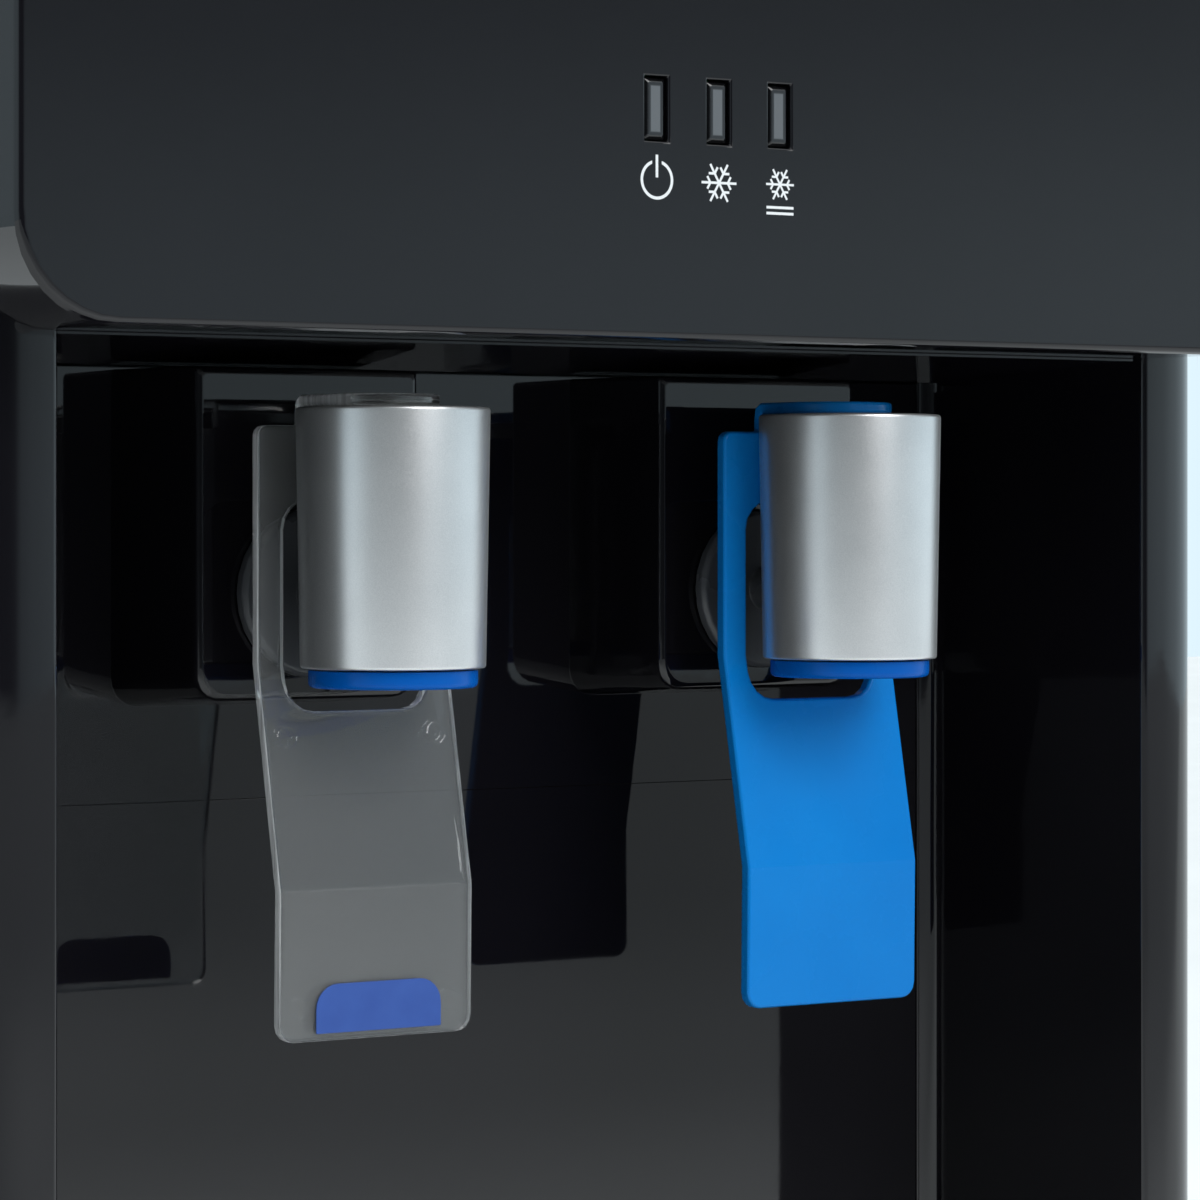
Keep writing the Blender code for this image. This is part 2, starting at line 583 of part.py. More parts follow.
def drip_tray(tray, grille):
    """Tray with a ledge around its basin, and the slotted grille lying on the ledge."""
    y0, over = COVER_Y, 5 * MM
    z1 = BASE_TOP - 2 * MM
    shelf = z1 - 1 * MM - GRILLE_T
    rim, ledge = TRAY_RIM, TRAY_RIM + TRAY_LEDGE
    obj = put("drip_tray", block(-TRAY_HALF, TRAY_HALF, y0, TRAY_BACK, TRAY_Z0 + GAP, z1), SATIN_BLACK, tray)
    boolean(obj, block(-TRAY_HALF + rim, TRAY_HALF - rim, y0 + rim + TRAY_FRONT, TRAY_BACK - rim,
                       shelf - GAP, BASE_TOP + over))
    boolean(obj, block(-TRAY_HALF + ledge, TRAY_HALF - ledge, y0 + ledge + TRAY_FRONT, TRAY_BACK - ledge,
                       TRAY_Z0 + GAP + TRAY_FLOOR, BASE_TOP + over))
    hx = TRAY_HALF - rim - GAP
    ya, yb = y0 + rim + TRAY_FRONT + GAP, TRAY_BACK - rim - GAP
    lattice = put("drip_grille", block(-hx, hx, ya, yb, shelf, shelf + GRILLE_T), SATIN_BLACK, grille)
    span = 2 * (hx - GRILLE_RIM)
    slot = (span + GRILLE_BAR) / GRILLE_BARS - GRILLE_BAR
    mid, spine = (ya + yb) / 2, 2 * MM
    slots = []
    for i in range(GRILLE_BARS):
        x = -hx + GRILLE_RIM + i * (slot + GRILLE_BAR)
        for front, rear in ((ya + GRILLE_RIM, mid - spine), (mid + spine, yb - GRILLE_RIM)):
            slots.append(block(x, x + slot, front, rear, shelf - over, shelf + GRILLE_T + over))
    boolean(lattice, several(slots))


def feet(parent):
    """Four rubber feet: the front pair under the front base, the rear pair under the pan."""
    chamfer = 1.5 * MM
    shape = [(0, 0), (FOOT_R - chamfer, 0), (FOOT_R, chamfer), (FOOT_R, FOOT_H - chamfer),
             (FOOT_R - chamfer, FOOT_H), (0, FOOT_H)]
    places = {"front": (TRAY_HALF - 10 * MM, COVER_Y + 34 * MM),
              "rear": (HALF_W - FOOT_INSET, REAR_Y - 40 * MM)}
    for end, (x, y) in places.items():
        for s, side in ((-1, "left"), (1, "right")):
            put("foot_%s_%s" % (end, side), lathe(shape, (s * x, y, 0), "Z", 20, False), RUBBER, parent)


def casing(parent):
    """Base pan, side panels with vents, rear panel with vents and fitting holes, top cover."""
    over = 5 * MM
    pan = put("base_pan", block(-SHEET_HALF, SHEET_HALF, PAN_Y, REAR_IN - GAP, PAN_Z, PAN_Z + PAN_WALL_H),
              ZINC, parent)
    boolean(pan, block(-SHEET_HALF + PAN_T, SHEET_HALF - PAN_T, PAN_Y + PAN_T, REAR_IN - GAP - PAN_T,
                       PAN_Z + PAN_T, PAN_Z + PAN_WALL_H + over))
    outline = [(PAN_Y, PAN_Z), (REAR_IN - GAP, PAN_Z), (REAR_IN - GAP, BODY_TOP), (SIDE_Y, BODY_TOP),
               (SIDE_Y, BASE_TOP + GAP), (PAN_Y, BASE_TOP + GAP)]
    back_y = REAR_Y - SIDE_VENT_BACK
    for s, side in ((-1, "left"), (1, "right")):
        a, b = sorted((s * HALF_W, s * (HALF_W - WALL)))
        obj = put("side_panel_" + side, loft([[(x, y, z) for y, z in outline] for x in (a, b)]),
                  SIDE_PAINT, parent, smooth=False)
        slots = []
        for i in range(SIDE_VENT_ROWS):
            z = SIDE_VENT_LOW + i * SIDE_VENT_PITCH
            slots.append(block(a - over, b + over, back_y - SIDE_VENT_L, back_y, z, z + SIDE_VENT_H))
        boolean(obj, several(slots))
    rear = put("rear_panel", block(-HALF_W, HALF_W, REAR_IN, REAR_Y, PAN_Z, BODY_TOP), SIDE_PAINT, parent,
               smooth=False)
    y0, y1 = REAR_IN - over, REAR_Y + over
    cuts = []
    for i in range(VENT_ROWS):
        z = VENT_LOW + i * VENT_PITCH
        for x in (-VENT_WEB / 2 - VENT_W, VENT_WEB / 2):
            cuts.append(block(x, x + VENT_W, y0, y1, z, z + VENT_H))
    cuts.append(rod(FITTING_R + 0.5 * MM, y0, y1, SERVICE_X, WATER_Z, 20))
    cuts.append(rod(SPINDLE_R + GAP, y0, y1, SERVICE_X, THERMOSTAT_Z, 20))
    cuts.append(rod(FITTING_R + 0.5 * MM, y0, y1, 0, DRAIN_Z, 20))
    half_w, half_h = INLET_HALF_W + GAP, INLET_HALF_H + GAP
    cuts.append(block(-SERVICE_X - half_w, -SERVICE_X + half_w, y0, y1, INLET_Z - half_h, INLET_Z + half_h))
    boolean(rear, several(cuts))
    edge = 2.5 * MM
    rows = [(LID_Z, 0), (BODY_H - edge, 0), (BODY_H - edge / 3, edge / 3), (BODY_H, edge)]
    loops = []
    for z, i in rows:
        plan = round_rect(-HALF_W + i, HALF_W - i, COVER_Y + i, REAR_Y - i, (3 * MM,) * 4, 3)
        loops.append([(x, y, z) for x, y in plan])
    lid = put("top_cover", loft(loops), SATIN_BLACK, parent)
    boolean(lid, block(-HALF_W + LID_RIM, HALF_W - LID_RIM, COVER_Y + LID_RIM, REAR_Y - LID_RIM,
                       LID_Z - over, BODY_H - WALL))


# ---- taps -----------------------------------------------------------------------------------------
def lever(name, x, look, parent, origin):
    """Push lever: framed plate behind the sleeve, slanted paddle, capped tongue over the tap.

    Rows run from the paddle foot to the tongue tip; each row holds a front and a back point and
    three half widths: outer edge, window edge (inner columns) and whether the window is open there.
    """
    yf, t = TAP_Y + LEVER_BACK, LEVER_T
    knee = TAP_Y + LEVER_KNEE
    rows = []

    def plate_y(z):
        if z >= SLANT_TOP:
            return yf
        if z >= SLANT_BOTTOM:
            u = (z - SLANT_BOTTOM) / (SLANT_TOP - SLANT_BOTTOM)
            return knee + (yf - knee) * u
        return knee + LEVER_LEAN * (SLANT_BOTTOM - z) / (SLANT_BOTTOM - LEVER_BOTTOM)

    edge_r, foot_r = LEVER_EDGE_R, LEVER_FOOT_R
    levels = [LEVER_BOTTOM + foot_r * (1 - math.cos(math.radians(a))) for a in (0, 20, 40, 65, 90)]
    levels += [SLANT_BOTTOM - 1.5 * MM, SLANT_BOTTOM, SLANT_BOTTOM + 1.5 * MM]
    levels += [(SLANT_BOTTOM + WINDOW_BOTTOM) / 2]
    wc = WINDOW_CORNER
    corner = [wc * (1 - math.cos(math.radians(a))) for a in (0, 22.5, 45, 67.5, 90)]
    levels += [WINDOW_BOTTOM + c for c in corner] + [SLANT_TOP, SLANT_TOP + 3 * MM]
    levels += [WINDOW_TOP - c for c in corner[::-1]] + [LEVER_TOP - SHOULDER_H]
    levels += [LEVER_TOP - edge_r * (1 - math.sin(math.radians(a))) for a in (0, 30, 60, 90)]
    levels.sort()
    for z in levels:
        out = LEVER_HALF
        if z < LEVER_BOTTOM + foot_r:
            out -= foot_r - math.sqrt(max(0, foot_r ** 2 - (LEVER_BOTTOM + foot_r - z) ** 2))
        if z > LEVER_TOP - edge_r:
            out -= edge_r - math.sqrt(max(0, edge_r ** 2 - (z - LEVER_TOP + edge_r) ** 2))
        near = min(z - WINDOW_BOTTOM, WINDOW_TOP - z)
        inner, inside = WINDOW_HALF - wc, near >= -1e-9
        if inside:
            inner = WINDOW_HALF - wc + math.sqrt(max(0, wc ** 2 - max(0, wc - near) ** 2))
        elif z > WINDOW_TOP:
            inner = CAP_HALF
        y = plate_y(z)
        rows.append(((y, z), (y + t, z), out, inner, inside))
    plate_rows = len(rows)
    top = CAP_Z + CAP_T
    tongue = [((yf, CAP_Z - 1.2 * MM), (yf + t, CAP_Z - 1.2 * MM)),
              ((yf, CAP_Z), (yf + t - 0.5 * MM, CAP_Z + 1.4 * MM)),
              ((yf - 1 * MM, CAP_Z), (yf + 0.6 * MM, top))]
    tongue = [(f, b, CAP_HALF) for f, b in tongue]
    centre = TAP_Y + CAP_HALF - CAP_NOSE
    for a in (0, 20, 40, 55, 68, 79):
        y, half = centre - CAP_HALF * math.sin(math.radians(a)), CAP_HALF * math.cos(math.radians(a))
        tongue.append(((y, CAP_Z), (y, top), half))
    verts, faces, ids = [], [], []
    for (fy, fz), (by, bz), out, inner, _ in rows:
        ids.append([len(verts) + i for i in range(8)])
        verts += [(x + u, fy, fz) for u in (-out, -inner, inner, out)]
        verts += [(x + u, by, bz) for u in (-out, -inner, inner, out)]
    for (fy, fz), (by, bz), half in tongue:
        ids.append([None, len(verts), len(verts) + 1, None, None, len(verts) + 2, len(verts) + 3, None])
        verts += [(x - half, fy, fz), (x + half, fy, fz), (x - half, by, bz), (x + half, by, bz)]
    last = len(ids) - 1
    for i in range(last):
        a, b = ids[i], ids[i + 1]
        plate = i + 1 < plate_rows
        hole = plate and rows[i][4] and rows[i + 1][4]
        for c in ((0, 1, 2) if plate else (1,)):
            if c == 1 and hole:
                continue
            faces.append((a[c], a[c + 1], b[c + 1], b[c]))
            faces.append((a[c + 4], b[c + 4], b[c + 5], a[c + 5]))
        edges = (0, 3) if plate else (1, 2)
        for c in edges + ((1, 2) if hole else ()):
            faces.append((a[c], b[c], b[c + 4], a[c + 4]))
    for i in range(plate_rows):
        opens = rows[i][4] and not (i and rows[i - 1][4])
        shuts = rows[i][4] and not (i + 1 < plate_rows and rows[i + 1][4])
        if opens or shuts:
            r = ids[i]
            faces.append((r[1], r[2], r[6], r[5]))
    r = ids[0]
    faces.append((r[0], r[1], r[2], r[3], r[7], r[6], r[5], r[4]))
    r = ids[plate_rows - 1]
    faces += [(r[0], r[1], r[5], r[4]), (r[2], r[3], r[7], r[6])]
    r = ids[last]
    faces.append((r[1], r[2], r[6], r[5]))
    put(name, (verts, faces), look, parent, origin)


def tap(side, s):
    """One tap: shank through the boss, body, sleeve, ring, lever, stem with plunger, spring, nut."""
    x = s * TAP_X
    axis = (x, TAP_Y, 0)
    fixed = group("tap_" + side, (x, TAP_Y, SHANK_Z))
    pivot = group("lever_pivot_" + side, (x, *LEVER_PIVOT))
    look = CLEAR if s < 0 else BLUE
    over = 5 * MM
    top = SLEEVE_TOP - 2 * MM
    body_r = BODY_IN_R - 0.4 * MM
    low = RING_BOTTOM + 0.6 * MM
    profile = [(BORE_R, low), (NOZZLE_R, low), (NOZZLE_R, RING_TOP + GAP), (body_r, RING_TOP + GAP),
               (body_r, top - 3 * MM), (body_r - 2.6 * MM, top), (STEM_R + GAP, top),
               (STEM_R + GAP, CHAMBER_TOP), (CHAMBER_R, CHAMBER_TOP), (CHAMBER_R, CHAMBER_LOW),
               (BORE_R, SEAT_Z)]
    tap_body = put("tap_body_" + side, lathe(profile, axis, "Z", 28), WHITE_PLASTIC, fixed)
    back_y = TAP_Y + SLEEVE_CUT - 0.5 * MM
    boolean(tap_body, block(x - SLEEVE_R, x + SLEEVE_R, back_y, TAP_Y + TAP_OUT, SLEEVE_BOTTOM - over,
                            SLEEVE_TOP + over))
    boolean(tap_body, rod(SHANK_BORE_R, TAP_Y, TAP_Y + TAP_OUT, x, SHANK_Z, 16))
    y0, yb = back_y + GAP, BOSS_FRONT - GAP
    tail = WALL_Y + SHANK_TAIL
    shank = [(SHANK_BORE_R, y0), (SHANK_NECK_R, y0), (SHANK_NECK_R, yb - FLANGE_T),
             (FLANGE_R - 1 * MM, yb - FLANGE_T), (FLANGE_R, yb - FLANGE_T + 1 * MM), (FLANGE_R, yb),
             (SHANK_R, yb), (SHANK_R, tail), (SHANK_BORE_R, tail)]
    put("tap_shank_" + side, lathe(shank, (x, 0, SHANK_Z), "Y", 28), SATIN_BLACK, fixed)
    nut_y = WEB_Y + WALL + GAP
    nut = put("shank_nut_" + side, back(arc(x, SHANK_Z, NUT_R, 0, 300, 5), nut_y, nut_y + NUT_T),
              WHITE_PLASTIC, fixed, smooth=False)
    boolean(nut, rod(SHANK_R + GAP, nut_y - over, nut_y + NUT_T + over, x, SHANK_Z))
    inner = SLEEVE_R_LOW - SLEEVE_T
    shell = [(inner, SLEEVE_BOTTOM), (SLEEVE_R_LOW - 0.4 * MM, SLEEVE_BOTTOM),
             (SLEEVE_R_LOW, SLEEVE_BOTTOM + 0.5 * MM), (SLEEVE_R, SLEEVE_TOP - 0.8 * MM),
             (SLEEVE_R - 0.6 * MM, SLEEVE_TOP), (SLEEVE_R - SLEEVE_T, SLEEVE_TOP)]
    sleeve = put("tap_sleeve_" + side, lathe(shell, axis, "Z", 48), ALUMINIUM, fixed)
    boolean(sleeve, block(x - SLEEVE_R - over, x + SLEEVE_R + over, TAP_Y + SLEEVE_CUT, TAP_Y + TAP_OUT,
                          SLEEVE_BOTTOM - over, SLEEVE_TOP + over))
    hole, edge = NOZZLE_R + GAP, RING_EDGE
    ring = [(hole, RING_BOTTOM), (RING_R - edge, RING_BOTTOM), (RING_R, RING_BOTTOM + edge),
            (RING_R, RING_TOP), (hole, RING_TOP)]
    put("spout_ring_" + side, lathe(ring, axis, "Z", 40), RING_BLUE, fixed)
    lever("lever_" + side, x, look, pivot, (x, *LEVER_PIVOT))
    plunger = CHAMBER_R - 0.6 * MM
    foot, collar = SEAT_Z + 1 * MM, SEAT_Z + 7 * MM
    stem = [(0, foot), (BORE_R + 0.1 * MM, foot), (plunger, foot + 3.6 * MM), (plunger, collar),
            (STEM_R, collar), (STEM_R, SLEEVE_TOP - STEM_TIP_H), (STEM_TIP_R, SLEEVE_TOP),
            (0, SLEEVE_TOP)]
    put("valve_stem_" + side, lathe(stem, axis, "Z", 20, False), WHITE_PLASTIC, fixed, (x, TAP_Y, foot))
    z0 = collar + SPRING_WIRE_R + GAP
    z1 = CHAMBER_TOP - SPRING_WIRE_R - GAP
    steps = 10 * SPRING_TURNS
    coil = []
    for i in range(steps + 1):
        a = 2 * math.pi * i / 10
        coil.append((x + SPRING_R * math.cos(a), TAP_Y + SPRING_R * math.sin(a), z0 + (z1 - z0) * i / steps))
    put("valve_spring_" + side, tube(coil, SPRING_WIRE_R, 0, 6), STEEL, fixed, (x, TAP_Y, CHAMBER_TOP))
    return pivot


def sticker(pivot):
    """Blue label on the front of the clear paddle, upper corners rounded."""
    x = -TAP_X
    z0 = LEVER_BOTTOM + LABEL_RISE
    y = TAP_Y + LEVER_KNEE - LABEL_GAP
    corners = (LABEL_FOOT_R, LABEL_FOOT_R, LABEL_TOP_R, LABEL_TOP_R)
    outline = round_rect(x - LABEL_HALF, x + LABEL_HALF, z0, z0 + LABEL_H, corners, 6)
    put("lever_label_left", back(outline, y - LABEL_T, y), STICKER, pivot, (x, *LEVER_PIVOT))


# ---- inside ---------------------------------------------------------------------------------------
def cooling(parent):
    """Cold tank in its foam jacket on a shelf, compressor on grommets, condenser coil."""
    c = (0, TANK_Y, 0)
    r, low, high, t, port = TANK_R, TANK_Z0, TANK_TOP, TANK_WALL, TANK_PORT_R
    foot, shoulder, crown = 10 * MM, 12 * MM, 2 * MM
    outer = [(port, low), (r - foot, low), (r, low + foot), (r, high - shoulder),
             (r - 2 * foot, high - crown), (port, high)]
    inner = [(port, high - t), (r - 2 * foot, high - crown - t), (r - t, high - shoulder - t),
             (r - t, low + foot + t), (r - foot, low + t), (port, low + t)]
    put("cold_tank", lathe(outer + inner, c, "Z", 40), STEEL, parent)
    r_in = TANK_R + 2 * GAP
    r_out = TANK_R + FOAM_T
    drain_r = 22 * MM
    z0, z1 = SHELF_Z + PAN_T + GAP, high + 4 * MM
    jacket = [(drain_r, z0), (r_out, z0), (r_out, z1), (r_in, z1), (r_in, low - GAP), (drain_r, low - GAP)]
    put("tank_foam_jacket", lathe(jacket, c, "Z", 32), FOAM, parent)
    z0, z1 = z1 + GAP, z1 + 20 * MM
    hole = TUBE_R + 3.5 * MM
    put("tank_foam_lid", lathe([(hole, z0), (r_out, z0), (r_out, z1), (hole, z1)], c, "Z", 32), FOAM, parent)
    half = 46 * MM
    shelf = put("tank_shelf", block(-SHEET_HALF, SHEET_HALF, TANK_Y - half, TANK_Y + half, SHELF_Z,
                                    SHELF_Z + PAN_T), ZINC, parent, smooth=False)
    hole = drain_r + 2 * MM
    boolean(shelf, lathe([(0, SHELF_Z - PAN_T), (hole, SHELF_Z - PAN_T), (hole, SHELF_Z + 2 * PAN_T),
                          (0, SHELF_Z + 2 * PAN_T)], c, "Z", 24, False))
    compressor(parent)
    condenser(parent)


def compressor(parent):
    """Welded dome on a foot plate, standing on four grommets."""
    x, y, z = COMPRESSOR_X, REAR_Y - COMPRESSOR_BACK, PAN_FLOOR + GROMMET_H
    shape = ((0, 2), (40, 2), (56, 16), (61, 40), (61, 62), (63.5, 64), (63.5, 68), (60, 70), (57, 98),
             (45, 120), (22, 132), (0, 135))
    dome = [(r * MM, h * MM + z + GAP) for r, h in shape]
    shell = put("compressor", lathe(dome, (x, y, 0), "Z", 32, False), ENAMEL, parent)
    half_x, half_y, corner, margin = 82 * MM, 52 * MM, 8 * MM, 10 * MM
    plate = round_rect(x - half_x, x + half_x, y - half_y, y + half_y, (corner,) * 4, 3)
    boolean(shell, up(plate, z + GAP, z + GAP + 3 * MM), "UNION")
    waist, end = 7 * MM, 9 * MM
    rubber = [(0, PAN_FLOOR), (end, PAN_FLOOR), (waist, PAN_FLOOR + GROMMET_H / 2), (end, z), (0, z)]
    dx, dy = half_x - margin, half_y - margin
    for name, gx, gy in (("a", -dx, -dy), ("b", dx, -dy), ("c", dx, dy), ("d", -dx, dy)):
        put("compressor_grommet_" + name, lathe(rubber, (x + gx, y + gy, 0), "Z", 14, False), RUBBER, parent)


def condenser(parent):
    """Serpentine of straight runs and bends in front of the rear panel."""
    half, bend, y = HALF_W - COIL_INSET, COIL_PITCH / 2, REAR_IN - 12 * MM
    points = []
    for i in range(COIL_ROWS):
        s = 1 if i % 2 == 0 else -1
        z = COIL_LOW + i * COIL_PITCH
        points += [(-s * half, y, z), (s * half, y, z)]
        if i < COIL_ROWS - 1:
            turn = arc(0, 0, bend, -60, 60, 4)
            points += [(s * (half + u), y, z + bend + v) for u, v in turn]
    put("condenser_coil", tube(points, COIL_R, 0, 8), COPPER, parent)


def plumbing(parent):
    """Inlet fitting, solenoid valve and the water tubes."""
    start, drop = WALL_Y + SHANK_TAIL, SHELF_Z - 14 * MM
    port = 11 * MM
    for s, side in ((-1, "left"), (1, "right")):
        x = s * TAP_X
        path = smooth_path([(x, start + GAP, SHANK_Z), (x, start + 8.5 * MM, SHANK_Z),
                            (x, start + 9 * MM, drop), (s * port, TANK_Y, drop - 2 * MM),
                            (s * port, TANK_Y, TANK_Z0 - GAP)], 14 * MM)
        put("tap_tube_" + side, tube(path, TUBE_R, TUBE_BORE_R, 10), PIPE, parent)
    x, z = SERVICE_X, WATER_Z
    r, inner = FITTING_R, 18 * MM
    fit = [(3 * MM, REAR_IN - inner), (r, REAR_IN - inner), (r, REAR_Y + GAP), (11 * MM, REAR_Y + GAP),
           (11 * MM, REAR_Y + 4 * MM), (8.5 * MM, REAR_Y + 5 * MM), (8.5 * MM, REAR_Y + 12 * MM),
           (7 * MM, REAR_Y + 13.5 * MM), (3.4 * MM, REAR_Y + 13.5 * MM), (3.4 * MM, REAR_IN)]
    put("water_inlet_fitting", lathe(fit, (x, 0, z), "Y", 24), WHITE_PLASTIC, parent)
    y1 = REAR_IN - inner - GAP
    y0 = y1 - 34 * MM
    half_w, half_h, coil = 14 * MM, 12 * MM, 5 * MM
    valve = put("inlet_valve", block(x - half_w, x + half_w, y0, y1, z - half_h, z + half_h),
                WHITE_PLASTIC, parent, smooth=False)
    spout, outlet = (x, (y0 + y1) / 2, z), 24 * MM
    boolean(valve, several([block(x - 11 * MM, x + 11 * MM, y0 + coil, y1 - coil, z - 40 * MM, z - 11 * MM),
                            lathe([(0, 10 * MM), (6 * MM, 10 * MM), (6 * MM, outlet), (0, outlet)],
                                  spout, "Z", 16, False)]), "UNION")
    riser_x, loop_z = HALF_W - 28.5 * MM, TANK_TOP + 34 * MM
    path = smooth_path([(x, spout[1], z + outlet + GAP), (x, spout[1], SHELF_Z - 26 * MM),
                        (riser_x, REAR_Y - 128 * MM, SHELF_Z + 14 * MM), (riser_x, REAR_Y - 150 * MM, loop_z),
                        (0, TANK_Y, loop_z), (0, TANK_Y, TANK_TOP + GAP)], 16 * MM)
    put("supply_tube", tube(path, TUBE_R, TUBE_BORE_R, 10), PIPE, parent)
    shaft, head, rear = FITTING_R - 0.2 * MM, 12 * MM, REAR_Y + 7 * MM
    drain = [(0, REAR_IN - 12 * MM), (shaft, REAR_IN - 12 * MM), (shaft, REAR_Y + GAP), (head, REAR_Y + GAP),
             (head, rear - 2 * MM), (head - 1.5 * MM, rear), (0, rear)]
    plug = put("drain_plug", lathe(drain, (0, 0, DRAIN_Z), "Y", 24, False), SATIN_BLACK,
               group("drain_axis", (0, REAR_Y, DRAIN_Z)))
    slot_l, slot_h = 8 * MM, 1.2 * MM
    boolean(plug, block(-slot_l, slot_l, rear - 2.5 * MM, rear + 5 * MM, DRAIN_Z - slot_h, DRAIN_Z + slot_h))


def thermostat(parent):
    """Thermostat box behind the rear panel, its spindle and the knob on it."""
    x, z = SERVICE_X, THERMOSTAT_Z
    half_w, half_h, depth = 16 * MM, THERMOSTAT_HALF_H, 33 * MM
    box = put("thermostat", block(x - half_w, x + half_w, REAR_IN - depth, REAR_IN - GAP, z - half_h,
                                  z + half_h), WHITE_PLASTIC, parent, smooth=False)
    boolean(box, rod(SPINDLE_R, REAR_IN - 5 * MM, REAR_Y + KNOB_GAP, x, z, 16), "UNION")
    y = REAR_Y + KNOB_GAP + GAP
    skirt = 9 * MM
    knob = [(0, y), (KNOB_R, y), (KNOB_R - 1 * MM, y + skirt - 1 * MM), (KNOB_R - 2.5 * MM, y + skirt),
            (0, y + skirt)]
    dial = put("thermostat_knob", lathe(knob, (x, 0, z), "Y", 28, False), SATIN_BLACK,
               group("knob_axis", (x, REAR_Y, z)))
    grip_w, grip_l = 2 * MM, 12 * MM
    boolean(dial, block(x - grip_w, x + grip_w, y + skirt - 2 * MM, y + KNOB_H, z - grip_l, z + grip_l),
            "UNION")


def power_inlet(parent):
    """Mains inlet with three pins, and the rocker switch above it."""
    x, z, rim = -SERVICE_X, INLET_Z, 3 * MM
    w, h = INLET_HALF_W, INLET_HALF_H
    inlet = put("power_inlet", block(x - w, x + w, REAR_IN - 24 * MM, REAR_Y + GAP, z - h, z + h),
                SATIN_BLACK, parent, smooth=False)
    boolean(inlet, block(x - w - rim, x + w + rim, REAR_Y + GAP - 0.01 * MM, REAR_Y + 2.5 * MM, z - h - rim,
                         z + h + rim), "UNION")
    wide, narrow = 12 * MM, 7 * MM
    low, mid, high = z - 23 * MM, z - 12 * MM, z - 6.5 * MM
    socket = [(x - wide, low), (x + wide, low), (x + wide, mid), (x + narrow, high), (x - narrow, high),
              (x - wide, mid)]
    over = 5 * MM
    switch_z, hole = z + 14 * MM, ROCKER_HALF + ROCKER_CLEAR
    boolean(inlet, several([back(socket, REAR_Y - 14.5 * MM, REAR_Y + over),
                            block(x - 11 * MM, x + 11 * MM, REAR_Y - 9 * MM, REAR_Y + over, switch_z - hole,
                                  switch_z + hole)]))
    pins = []
    for dx, dz in ((-7 * MM, -17 * MM), (7 * MM, -17 * MM), (0, -12 * MM)):
        pins.append(block(x + dx - 1 * MM, x + dx + 1 * MM, REAR_Y - 16 * MM, REAR_Y - 2 * MM,
                          z + dz - 2 * MM, z + dz + 2 * MM))
    boolean(inlet, several(pins), "UNION")
    axle = (x, REAR_Y - 2 * MM, switch_z)
    half, deep = ROCKER_HALF, 4 * MM
    shape = [(-half, -deep), (half, -deep), (half, 2.5 * MM), (0, 3 * MM), (-half, 6 * MM)]
    loops = [[(x + dx, axle[1] + dy, switch_z + dz) for dz, dy in shape] for dx in (-half, half)]
    put("rocker_switch", loft(loops), SATIN_BLACK, group("switch_axle", axle))


def control_board(parent):
    """Board above the alcove ceiling with its transformer, relays and terminals."""
    z = CEIL_BACK + 20 * MM
    half = 80 * MM
    board = put("control_board", block(-half, half, PILLAR_Y + 7 * MM, WALL_Y - 6 * MM, z, z + BOARD_T),
                BOARD_GREEN, parent, smooth=False)
    fitted = []
    for x0, x1, y0, y1, height in ((-70, -40, 14, 49, 28), (-25, -8, 19, 37, 16), (4, 22, 19, 37, 16),
                                   (36, 70, 17, 31, 12)):
        fitted.append(block(x0 * MM, x1 * MM, PILLAR_Y + y0 * MM, PILLAR_Y + y1 * MM, z + BOARD_T / 2,
                            z + height * MM))
    boolean(board, several(fitted), "UNION")


def build():
    wipe()
    body = group("body")
    inside = group("inside")
    tray = group("tray_slide", (0, COVER_Y, TRAY_Z0))
    grille = group("grille_lift", (0, (COVER_Y + TRAY_BACK) / 2, BASE_TOP))
    alcove_liner(body)
    wall_panels(body)
    ceiling(body)
    upper_cover(body)
    indicators(body)
    front_base(body)
    casing(body)
    feet(body)
    drip_tray(tray, grille)
    left = tap("left", -1)
    tap("right", 1)
    sticker(left)
    cooling(inside)
    plumbing(inside)
    thermostat(inside)
    power_inlet(inside)
    control_board(inside)


build()
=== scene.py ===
"""Looks for the countertop water dispenser: finishes, finer surfaces where they show, and the stage."""
import json
import math

import bmesh
import bpy
import numpy as np
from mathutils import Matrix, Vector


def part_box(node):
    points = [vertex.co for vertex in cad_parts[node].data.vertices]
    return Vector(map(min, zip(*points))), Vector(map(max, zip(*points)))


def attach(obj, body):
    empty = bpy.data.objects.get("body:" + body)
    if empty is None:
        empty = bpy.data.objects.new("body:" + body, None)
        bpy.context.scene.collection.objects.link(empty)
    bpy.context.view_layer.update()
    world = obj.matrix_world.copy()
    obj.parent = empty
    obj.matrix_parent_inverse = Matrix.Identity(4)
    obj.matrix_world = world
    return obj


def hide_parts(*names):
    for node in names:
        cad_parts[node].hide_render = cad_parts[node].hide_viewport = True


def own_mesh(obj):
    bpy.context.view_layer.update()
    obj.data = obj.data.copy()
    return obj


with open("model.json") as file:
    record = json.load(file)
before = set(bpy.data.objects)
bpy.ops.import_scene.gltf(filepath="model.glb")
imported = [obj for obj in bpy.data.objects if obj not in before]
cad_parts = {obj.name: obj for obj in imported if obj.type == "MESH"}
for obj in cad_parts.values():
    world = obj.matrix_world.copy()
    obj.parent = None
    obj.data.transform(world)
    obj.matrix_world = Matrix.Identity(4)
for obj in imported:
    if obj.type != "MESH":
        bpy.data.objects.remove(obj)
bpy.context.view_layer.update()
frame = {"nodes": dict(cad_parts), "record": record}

MM = 0.001
SIDES = ("left", "right")
ICON_DROP = 14.2 * MM      # printed marks below the indicator windows
PRINT_SOFT = 0.05          # soft edge of the printed marks, in millimetres
NODES = frame["nodes"]
BODY_OF = {n: b for b, members in frame["record"]["behaviour"]["bodies"].items() for n in members}
SLOT_OF = {s["node"]: s["material_slot"] for s in frame["record"]["subparts"]}


